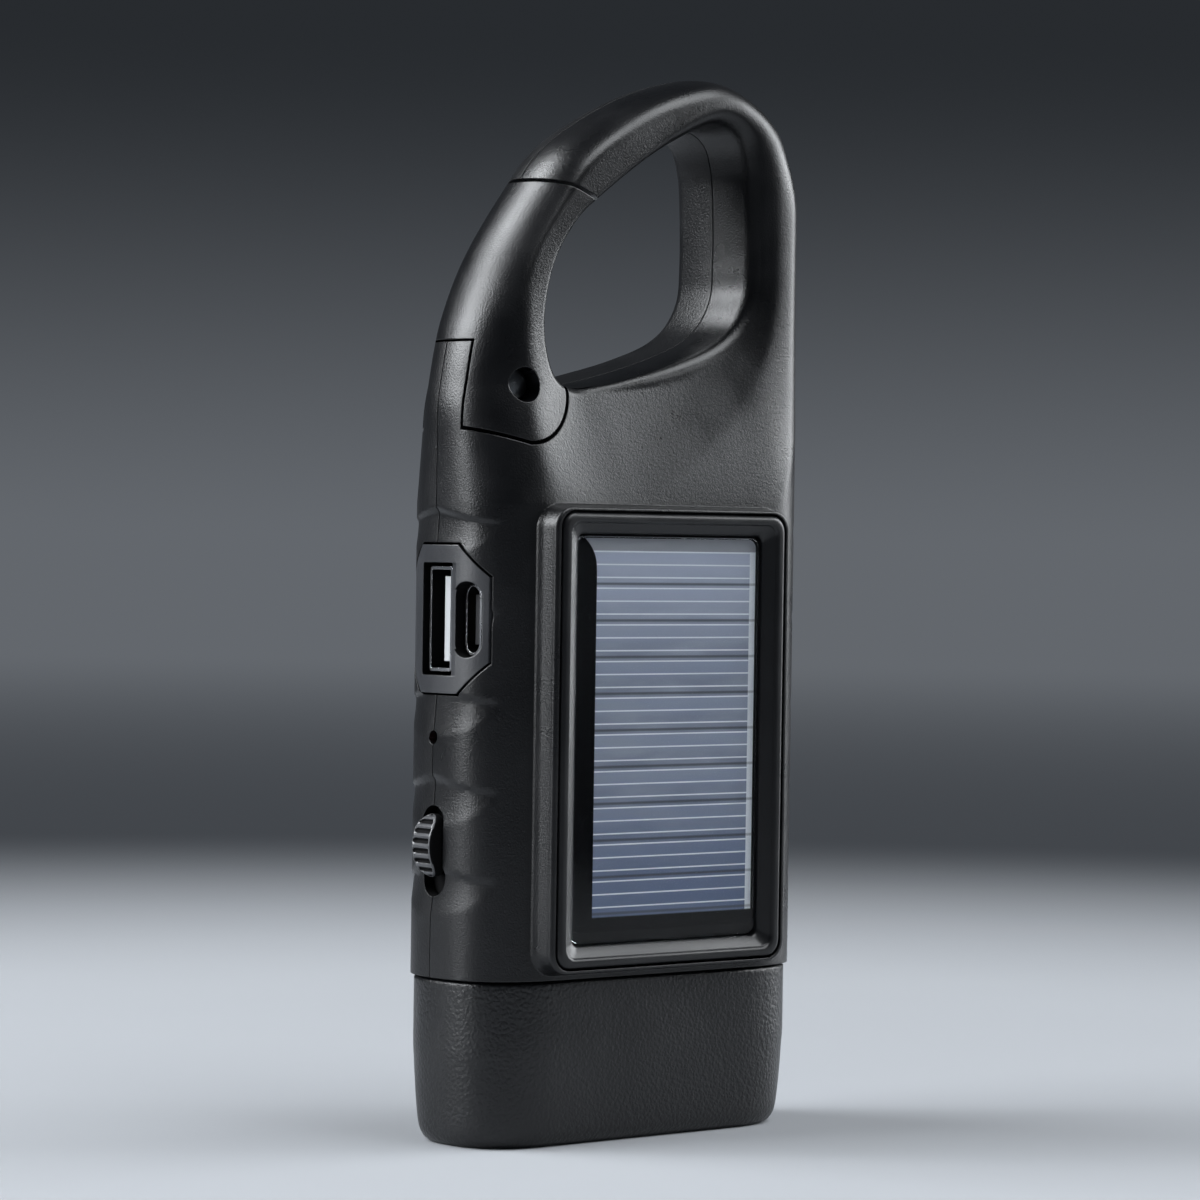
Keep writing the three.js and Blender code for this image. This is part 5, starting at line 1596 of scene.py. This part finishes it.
@dataclass(frozen=True)
class CellFinish:
    """Solar cells: grey-blue strips, each with three silver lines, and a bus at the right.

    Heights and places are in body millimetres; the pattern reads Object coordinates. A strip's
    shares run down it, from its top line to the next strip's.
    """

    name: str = "solar cells"
    top: float = 74.6
    line_drop: float = 0.12
    pitch: float = 4.6
    left: float = -11.6
    bus: Pair = (14.0, 14.95)
    bottom: float = 28.75
    line_shares: tuple[float, ...] = (0.0, 0.352, 0.704)
    line_edge_shares: Pair = (0.012, 0.027)
    gap_share: float = 0.905
    gap_edge_shares: Pair = (0.01, 0.06)
    shade_shares: Pair = (0.1, 0.95)
    # Painted reflection: over these heights the upper strips blend towards a light reflection colour.
    high: Pair = (58.0, 76.0)
    # Painted shade: over these heights the lower strips blend towards the dark dusk colour.
    low: Pair = (29.0, 50.0)
    cut: Triple = (71.5, 4.8, 2.1)
    soft: Pair = (-0.05, 0.08)
    foot_soft: float = 0.1
    bus_soft: float = 0.04
    band: Pair = (0.08, 0.16)
    # How much painted reflection reaches the upper strips.
    painted_reflection_share: float = 0.62
    # How much painted shade reaches the lower strips.
    painted_shade_share: float = 0.72
    gap_depth_share: float = 0.75
    bus_gap_share: float = 0.8
    fleck: float = 500.0
    tone: tuple[Colour, Colour] = ((0.37, 0.40, 0.50), (0.27, 0.29, 0.345))
    cloud: Colour = (0.40, 0.42, 0.48)
    # The painted reflection's colour.
    painted_reflection: Colour = (0.66, 0.69, 0.80)
    # Dusk is the painted shade's colour.
    dusk: Colour = (0.11, 0.15, 0.26)
    gap: Colour = (0.09, 0.09, 0.095)
    silver: Colour = (1.0, 1.0, 1.0)
    dull: Colour = (0.5, 0.5, 0.5)
    plain: Colour = (0.42, 0.415, 0.43)
    bed: Colour = (0.001, 0.001, 0.0012)

    def lines(self, n: Nodes, turn: Socket) -> Socket:
        """1 on the silver lines of each strip."""
        found = None
        for share in self.line_shares:
            off = n.math("ABSOLUTE", n.math("SUBTRACT", turn, share + self.line_drop / self.pitch))
            line = n.rest(n.ramp(off, *self.line_edge_shares))
            found = line if found is None else n.math("MAXIMUM", found, line)
        return found

    def inside(self, n: Nodes, across: Socket, up: Socket) -> Socket:
        """1 on the strips: their left edge draws out towards the top, as a cube of the height."""
        start, run, reach = self.cut
        rise = n.math("MAXIMUM", n.math("DIVIDE", n.math("SUBTRACT", up, start), run), 0.0)
        drawn = n.math("MULTIPLY", n.math("POWER", rise, 3.0), reach)
        edge = n.math("SUBTRACT", self.left, drawn)
        found = n.ramp(n.math("SUBTRACT", across, edge), *self.soft)
        foot = n.ramp(up, self.bottom - self.foot_soft, self.bottom + self.foot_soft)
        found = n.math("MULTIPLY", found, foot)
        right = self.bus[1]
        return n.math("MULTIPLY", found, n.rest(n.ramp(across, right, right + self.soft[1])))

    def hue(self, n: Nodes, across: Socket, up: Socket) -> Socket:
        """The strips' colour, with their lines, gaps, the bus and the plain band over them; a painted
        reflection lightens the upper strips and painted shade darkens the lower ones.
        """
        turn = n.math("SUBTRACT", self.top + self.line_drop, up)
        turn = n.math("FRACT", n.math("DIVIDE", turn, self.pitch))
        off = n.math("ABSOLUTE", n.math("SUBTRACT", turn, self.gap_share))
        gap = n.rest(n.ramp(off, *self.gap_edge_shares))
        hue = n.mix(n.ramp(turn, *self.shade_shares), *self.tone)
        cloud = n.noise(n.stretched(n.spot(), (5.0, 1.0, 1.0)), self.fleck, 3.0)
        hue = n.mix(n.ramp(cloud, 0.3, 0.8), hue, self.cloud)
        high, low = n.ramp(up, *self.high), n.rest(n.ramp(up, *self.low))
        # Painted reflection lightens the upper strips.
        hue = n.mix(n.math("MULTIPLY", high, self.painted_reflection_share), hue, self.painted_reflection)
        # Painted shade darkens the lower strips.
        hue = n.mix(n.math("MULTIPLY", low, self.painted_shade_share), hue, self.dusk)
        hue = n.mix(n.math("MULTIPLY", gap, self.gap_depth_share), hue, self.gap)
        hue = n.mix(self.lines(n, turn), hue, self.silver)
        in_bus = n.ramp(across, self.bus[0] - self.bus_soft, self.bus[0] + self.bus_soft)
        split = n.rest(n.math("MULTIPLY", gap, self.bus_gap_share))
        hue = n.mix(in_bus, hue, n.mix(split, self.dull, self.silver))
        start, end = self.band
        return n.mix(n.ramp(up, self.top + start, self.top + end), hue, self.plain)

    def build(self) -> Material:
        """Makes the material once."""
        if self.name in bpy.data.materials:
            return bpy.data.materials[self.name]
        made, n, shader = new_material(self.name)
        parts = n.add("ShaderNodeSeparateXYZ")
        n.link(n.spot(), parts.inputs[0])
        across = n.math("MULTIPLY", parts.outputs[0], 1 / MM)
        across = n.math("SUBTRACT", across, float(PLACE.shift[0]))
        up = n.math("MULTIPLY", parts.outputs[2], 1 / MM)
        colour = n.mix(self.inside(n, across, up), self.bed, self.hue(n, across, up))
        n.link(colour, shader.inputs["Base Color"])
        shader.inputs["Specular IOR Level"].default_value = 0.02
        shader.inputs["Roughness"].default_value = 0.6
        return made


# Ports and switch


@dataclass
class Ports:
    """The port plate, its two sockets and the status lamp, on the left side.

    The ledge is its X and how far it stands out beside the mouth. A bar is half its width, then
    how proud and how sunk it is. A socket's painted shade is how far in its inside is painted black
    as shade, and off its walls. The lamp's round is the depth and radius of its dome; its body is
    pairs of X and the radius.
    """

    form: ShellForm
    sizes: PortSizes
    plate_back: float = -24.5
    plate_reach: float = 20.0
    mouth_round: float = 0.35
    mouth_grow: float = 0.6
    ledge: Pair = (-27.15, 0.9)
    overrun: float = 5.0
    a_left: float = -26.7
    a_length: float = 13.0
    a_sheet: float = 0.4
    a_rounds: Pair = (0.55, 0.2)
    # How far in the large socket is painted black as shade, and how far off its walls.
    a_painted_shade: Pair = (0.05, 0.3)
    latch: Pair = (3.0, 6.5)
    latch_height: float = 2.9
    latch_half: float = 1.1
    a_run: Pair = (1.6, 9.0)
    a_rows: tuple[float, ...] = (-3.5, -1.2, 1.2, 3.5)
    a_bar: Triple = (0.5, 0.12, 0.1)
    c_left: float = -25.8
    c_length: float = 7.0
    c_sheet: float = 0.35
    # How far in the small socket is painted black as shade.
    c_painted_shade: float = 1.2
    c_run: Pair = (0.9, 4.5)
    c_rows: tuple[float, ...] = tuple(np.linspace(-2.5, 2.5, 11))
    c_bar: Pair = (0.12, 0.05)
    lamp_front: float = -26.8
    lamp_round: Pair = (0.5, 0.7)
    lamp_body: tuple[Pair, ...] = (
        (-25.62, 0.7), (-25.6, 1.35), (-25.45, 1.5), (-22.6, 1.5),
    )

    def slab(self, name: str, half: Pair, corner: float, low: float, high: float) -> Solid:
        """A rounded rectangle in Y and Z at the ports' height, carried along X."""
        return prism(name, rounded_box(half, corner, self.sizes.height, 8, 2), low, high, axis=0)

    def oval(self, name: str, grow: float, low: float, high: float) -> Solid:
        """The small socket's stadium, grown by a margin and carried along X."""
        wide, long = self.sizes.usb_c
        outline = stadium((self.sizes.usb_c_y, self.sizes.height), wide + grow, long + grow)
        return prism(name, outline, low, high, axis=0)

    def plate(self) -> None:
        """The plate, flush with the side, with a mouth for each socket."""
        sizes, height = self.sizes, self.sizes.height
        low, high = height - self.plate_reach, height + self.plate_reach
        made = prism("port_face", self.form.section(HAIR), low, high, axis=2)
        combine(made, [prism("keep", sizes.octagon(0), -BEYOND, self.plate_back, axis=0)], Join.KEEP)
        w, h = sizes.usb_a[0] / 2 + sizes.mouth, sizes.usb_a[1] / 2 + sizes.mouth
        ledge, ledge_side = self.ledge
        combine(made, [
            self.slab("mouth_a", (w, h), self.mouth_round, -BEYOND, BEYOND),
            self.oval("mouth_c", self.mouth_grow, -BEYOND, BEYOND),
            box_solid("ledge", (-BEYOND, -w - ledge_side, height - h), (ledge, 0, height + h)),
        ], Join.CUT)
        settle(made, "housing", ["port_plate"], Palette.plate)
        # Painted shade: the mouths' walls get the near-black finish, for the shade inside them.
        paint(made, Palette.deep, lambda middle, normal: (
            (np.abs(normal[:, 0]) < 0.4)
            & (np.abs(middle[:, 1] + 2) < 6)
            & (np.abs(middle[:, 2] - height) < 8)
        ))

    def socket_a(self) -> None:
        """A bent sheet-steel socket with latch windows in both broad sides."""
        height = self.sizes.height
        w, h = self.sizes.usb_a[0] / 2, self.sizes.usb_a[1] / 2
        left, right = self.a_left, self.a_left + self.a_length
        outer, inner = self.a_rounds
        made = self.slab("socket_a", (w, h), outer, left, right)
        within = (w - self.a_sheet, h - self.a_sheet)
        bore = self.slab("bore", within, inner, left - self.overrun, right - self.a_sheet)
        start, end = left + self.latch[0], left + self.latch[1]
        windows = [
            box_solid("latch", (start, -w - 1, z - self.latch_half), (end, w + 1, z + self.latch_half))
            for z in (height - self.latch_height, height + self.latch_height)
        ]
        combine(made, [bore, *windows], Join.CUT)
        settle(made, "housing", ["usb_a_shell"], Palette.steel)
        # Painted shade: the socket's inside beyond its mouth turns near black.
        deep, wall = self.a_painted_shade
        paint(made, Palette.deep, lambda middle, normal: (
            (middle[:, 0] > left + deep)
            & (np.abs(middle[:, 1]) < w - wall)
            & (np.abs(middle[:, 2] - height) < h - wall)
        ))

    def socket_c(self) -> None:
        """A drawn stadium socket."""
        height, y = self.sizes.height, self.sizes.usb_c_y
        left, right = self.c_left, self.c_left + self.c_length
        made = self.oval("socket_c", 0, left, right)
        bore = self.oval("bore", -2 * self.c_sheet, left - self.overrun, right - self.c_sheet)
        combine(made, [bore], Join.CUT)
        settle(made, "housing", ["usb_c_shell"], Palette.steel)
        # Painted shade: the socket's inner walls beyond its mouth turn near black.
        paint(made, Palette.deep, lambda middle, normal: (
            (middle[:, 0] > left + self.c_painted_shade)
            & (np.abs(normal[:, 0]) < 0.4)
            & ((middle[:, 1] - y) * normal[:, 1] + (middle[:, 2] - height) * normal[:, 2] < 0)
        ))

    def strips(self, name: str, run: Pair, half: float, spots: list[tuple]) -> None:
        """Contact strips along X, as one piece of small raised bars.

        Args:
            name: the piece's name.
            run: where they start and end in X.
            half: half their width.
            spots: for each, its height over the ports' and its span in Y.
        """
        left, right = run
        bars = []
        for z, low, high in spots:
            up = self.sizes.height + z
            bars.append(box_solid(name, (left, low, up - half), (right, high, up + half)))
        join_all(bars[0], bars[1:])
        settle(bars[0], "housing", [], Palette.gold, sharp=0)

    def contacts(self) -> None:
        """The contact strips on both tongues."""
        face = PLACE.depths("usb_a_tongue")[0]
        half, proud, sunk = self.a_bar
        run = (self.a_left + self.a_run[0], self.a_left + self.a_run[1])
        self.strips("contacts_a", run, half, [(z, face - proud, face + sunk) for z in self.a_rows])
        sides = PLACE.depths("usb_c_tongue")
        half, proud = self.c_bar
        run = (self.c_left + self.c_run[0], self.c_left + self.c_run[1])
        both = [(z, y - proud, y + proud) for z in self.c_rows for y in sides]
        self.strips("contacts_c", run, half, both)

    def lamp(self) -> None:
        """The status lamp: a round lens behind its hole, on a wider body."""
        turn = np.radians(np.linspace(0, 90, 7))
        deep, radius = self.lamp_round
        dome = np.stack([self.lamp_front + deep - deep * np.sin(turn), radius * np.cos(turn)], 1)[::-1]
        profile = np.concatenate([[[self.lamp_front, HAIR]], dome, self.lamp_body])
        made = turned("lamp_lens", profile, (0, self.sizes.lamp), 0, 32)
        settle(made, "housing", ["status_lamp"], Palette.red)

    def build(self) -> None:
        """Makes the plate, the sockets, their contacts and the lamp."""
        self.plate()
        self.socket_a()
        self.socket_c()
        self.contacts()
        self.lamp()


@dataclass
class Switch:
    """The slide switch's arched button with its ribs.

    The stem is its inner end, half its width and half its height.
    """

    sizes: PortSizes
    side: float = 27.7
    back: float = -26.8
    half_wide: float = 1.9
    groove: float = 0.45
    rib_power: float = 0.65
    least: float = 0.25
    corner: float = 0.4
    flank: float = 0.25
    flank_run: float = 0.3
    face_band: float = 0.1
    skin: float = 0.16
    stem: Triple = (-23.9, 0.95, 1.2)
    rows: int = 170

    def build(self) -> None:
        """Sections stacked along Z: each is a rounded rectangle from the base out to the arch.

        The arch is a circle through the button's ends; the ribs are raised cosines on it.
        """
        sizes = self.sizes
        middle, chord = sizes.switch + sizes.rise, sizes.button / 2
        radius = (chord**2 + sizes.proud**2) / (2 * sizes.proud)
        base = self.side + sizes.proud - radius
        z = np.linspace(-chord + HAIR, chord - HAIR, self.rows)
        out = base + np.sqrt(np.maximum(radius**2 - z**2, 0))
        turn = np.arcsin(z / radius) / np.arcsin(chord / radius)
        rib = 0.5 - 0.5 * np.cos(np.pi * (turn + 1) * sizes.ribs)
        groove = self.groove * (1 - rib**self.rib_power)
        past = np.maximum(np.abs(z) - (chord - self.half_wide), 0)
        wide = np.sqrt(np.maximum(self.half_wide**2 - past**2, 0.01))
        rings = []
        for height, reach, half, cut in zip(z, out, wide, groove):
            depth = max(reach - abs(self.back), self.least)
            corner = min(self.corner, half * 0.8, depth * 0.45)
            outline = rounded_box((depth / 2, half), corner, 0.0, 6, 14)
            inside = soft_step((half - self.flank - np.abs(outline[:, 1])) / self.flank_run)
            outline[:, 0] += cut * inside * (outline[:, 0] < -depth / 2 + self.face_band)
            rings.append(at_level(outline + [self.back - depth / 2, 0.0], middle + height, 2))
        made = loft("switch_cap", np.array(rings))
        inner, w, h = self.stem
        stem = box_solid("stem", (self.back - 0.3, -w, middle - h), (inner, w, middle + h))
        combine(made, [stem], Join.ADD)
        settle(made, "switch", ["switch_button"], Palette.button, sharp=50)

        def painted_shade_faces(spot: Points, normal: Points) -> Points:
            """Flanks, foot and groove floors, which lie under the arch; they get painted shade."""
            rise = np.sqrt(np.maximum(radius**2 - (spot[:, 2] - middle) ** 2, 0))
            under = -spot[:, 0] < base + rise - self.skin
            return under | (np.abs(normal[:, 1]) > 0.75) | (spot[:, 0] > self.back - 0.2)

        # Painted shade: the flanks, foot and groove floors turn near black.
        paint(made, Palette.deep, painted_shade_faces)


# Head and crank


@dataclass
class Head:
    """The light head at the foot, with leather grain and a rolled lower edge.

    The shares are pairs: of the height, and of the taper there. The spigot is its outer and inner
    inset and its top; the bed is half its width and its rear.
    """

    form: ShellForm
    height: float = 20.8
    inset: float = 0.45
    taper: float = 2.2
    flange: float = 1.4
    bore: float = 4.05
    edge: float = 0.35
    spigot: Triple = (2.1, 3.5, 23.5)
    bed: Pair = (19.8, -8.5)
    wire: float = 3.6
    shares: tuple[Pair, ...] = (
        (0, 1), (0.035, 0.6), (0.1, 0.36), (0.25, 0.2), (0.5, 0.05), (0.6, 0), (1, 0),
    )

    def build(self) -> None:
        """The outside follows the inset shares; the bore and the spigot are cut and added."""
        curve = spline(np.array(self.shares, float), 10)
        height = curve[:, 0] * self.height
        inset = self.inset + self.taper * np.clip(curve[:, 1], 0, 1)
        keep = height < self.height - self.edge - 0.05
        top = arc((self.inset + self.edge, self.height - self.edge), self.edge, 180, 90, 5)
        profile = np.concatenate([np.stack([inset[keep], height[keep]], 1), top])
        made = loft("head_shell", self.form.rings(profile))
        bore = self.form.section_solid(self.bore, -5, self.height - self.flange)
        combine(made, [bore], Join.CUT)
        outer, inner, high = self.spigot
        spigot = self.form.section_solid(outer, self.height - self.flange / 2, high)
        across, rear = self.bed
        combine(spigot, [
            self.form.section_solid(inner, self.height - self.flange, BEYOND),
            box_solid("bed", (-across, -BEYOND, self.height), (across, rear, BEYOND)),
        ], Join.CUT)
        combine(made, [spigot], Join.ADD)
        combine(made, [prism("wire", circle((0, 0), self.wire), 0, BEYOND, axis=2)], Join.CUT)
        settle(made, "housing", ["head_cap"], Palette.head)


@dataclass
class Crank:
    """The folding crank on the back: arm, hub, knob and their small parts.

    The dish is its outer and inner radius and its depth; each bore is a radius and its two ends.
    The axle is its own radius and that of the knob's bore.
    """

    centre: Pair = (0.0, 46.0)
    front: float = 13.0
    back: float = 17.6
    hub: float = 10.0
    width: float = 14.4
    top: float = 88.8
    hinge: float = 84.0
    knob_y: float = 15.3
    window: float = 4.0
    knob_low: float = 65.0
    knob_high: float = 81.0
    knob: float = 3.5
    cap: float = 3.7
    cap_low: float = 63.7
    corner: float = 2.4
    dish: Triple = (7.4, 5.2, 0.6)
    bores: tuple[Triple, ...] = ((3.15, -BEYOND, 14.5), (1.35, -BEYOND, BEYOND), (3.3, 15.7, BEYOND))
    pin_radius: float = 1.05
    pin_wall: float = 0.6
    swing_gap: float = 0.6
    axle: Pair = (1.4, 1.55)
    stem_round: float = 1.4
    rounds: Pair = (0.45, 0.2)
    edge: float = 0.5
    ribs: int = 14
    rib_depth: float = 0.32
    stem_half: Pair = (3.5, 2.4)

    def arm(self) -> None:
        """Hub disc and arm in one outline, with the knob's window and the pin's bore."""
        low, high = self.front, self.back
        middle, half = (self.top + self.centre[1]) / 2, (self.top - self.centre[1]) / 2
        made = prism("crank_lever", circle(self.centre, self.hub, 96), low, high)
        bar = rounded_box((self.width / 2, half), self.corner, middle)
        combine(made, [prism("bar", bar, low, high)], Join.ADD)
        swing = float(np.hypot(self.hinge - self.cap_low, self.cap)) + self.swing_gap
        window = box_solid(
            "window", (-self.window, -BEYOND, self.hinge - swing), (self.window, BEYOND, BEYOND)
        )
        outer, inner, deep = self.dish
        dish = prism("dish", circle(self.centre, outer, 72), high - deep, BEYOND)
        combine(dish, [prism("plug", circle(self.centre, inner, 72), high - 2, BEYOND)], Join.CUT)
        bores = [rod(radius, self.centre, *ends) for radius, *ends in self.bores]
        combine(made, [window, dish, *bores], Join.CUT)
        combine(made, [self.pin(-self.width / 2 + self.pin_wall)], Join.CUT)
        bevel(made, self.rounds[0])
        settle(made, "crank", ["crank_arm"], Palette.shell, sharp=40)

    def pin(self, low: float) -> Solid:
        """The bore of the knob's hinge pin, from a place on X outwards."""
        outline = circle((self.knob_y, self.hinge), self.pin_radius, 40)
        return prism("pin", outline, low, BEYOND, axis=0)

    def lathe(self, name: str, profile: Points, ribs: int = 0, depth: float = 0.0) -> Solid:
        """A turned piece about the knob's axis, with ribs along it.

        Args:
            name: the object's name.
            profile: rows of radius, height and the share of the ribs there.
            ribs: how many ribs go round it.
            depth: how deep the grooves between them are, as raised cosines.

        Returns:
            The new solid.
        """
        angle = np.radians(np.linspace(0, 360, 145)[:-1])
        wave = depth * (0.5 - 0.5 * np.cos(angle * ribs))
        around = np.stack([np.cos(angle), np.sin(angle)], 1)
        return loft(name, np.array([
            at_level((radius - wave * share)[:, None] * around + [0, self.knob_y], height, 2)
            for radius, height, share in profile
        ]))

    def grip(self) -> None:
        """The knob, with soft ribs along it that fade out at both ends, and its cap."""
        low, high, edge = self.knob_low, self.knob_high, self.edge
        lower = arc((self.knob - edge, low + edge), edge, -90, 0, 7)
        upper = arc((self.knob - edge, high - edge), edge, 0, 90, 7)
        height = np.linspace(low + 1, high - 1, 40)
        fade = soft_step(np.minimum(height - low - 1, high - 1 - height) / 1.5)
        body = np.stack([np.full_like(height, self.knob), height, fade], 1)
        profile = np.concatenate([at_level(lower, 0, 2), body, at_level(upper, 0, 2)])
        made = self.lathe("crank_grip", profile, self.ribs, self.rib_depth)
        bore = prism("bore", circle((0, self.knob_y), self.axle[1]), -BEYOND, BEYOND, axis=2)
        combine(made, [bore], Join.CUT)
        settle(made, "knob", ["crank_knob"], Palette.head, sharp=40)
        foot = np.array([
            (-0.5, 0, 0), (-0.2, 0.05, 0), (-0.04, 0.2, 0), (0, 0.4, 0), (0, 0.7, 0),
            (-0.06, 0.88, 0), (-0.25, 1, 0),
        ])
        made = self.lathe("grip_cap", foot + [self.cap, self.cap_low, 0])
        settle(made, "knob", ["knob_cap"], Palette.trim, sharp=40)

    def stem(self) -> None:
        """The knob's hinge block and spindle."""
        wide, half = self.stem_half
        outline = rounded_box((half, half), self.stem_round, self.hinge) + [self.knob_y, 0]
        made = prism("grip_stem", outline, -wide, wide, axis=0)
        axle = circle((0, self.knob_y), self.axle[0], 48)
        spindle = prism("spindle", axle, self.knob_low, self.hinge - half / 2, axis=2)
        combine(made, [spindle], Join.ADD)
        combine(made, [self.pin(-BEYOND)], Join.CUT)
        bevel(made, self.rounds[1])
        settle(made, "knob_stem", ["knob_stem"], Palette.dark_steel, sharp=40)

    def build(self) -> None:
        """Makes the arm, the knob and its stem."""
        self.arm()
        self.grip()
        self.stem()


def main() -> None:
    """Builds the pieces in order and reports them."""
    logging.basicConfig(level=logging.INFO, format="%(message)s")
    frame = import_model()
    PLACE.read()
    Stage().build()
    dress_nodes(frame)
    form, ports = ShellForm(), PortSizes()
    whole = form.build()
    Shell(form, ports).build(whole)
    Gate(form).build(whole)
    Ports(form, ports).build()
    bpy.data.objects.remove(whole)
    SolarPanel().build()
    Switch(ports).build()
    Head(form).build()
    Crank().build()


if __name__ == "__main__":
    main()
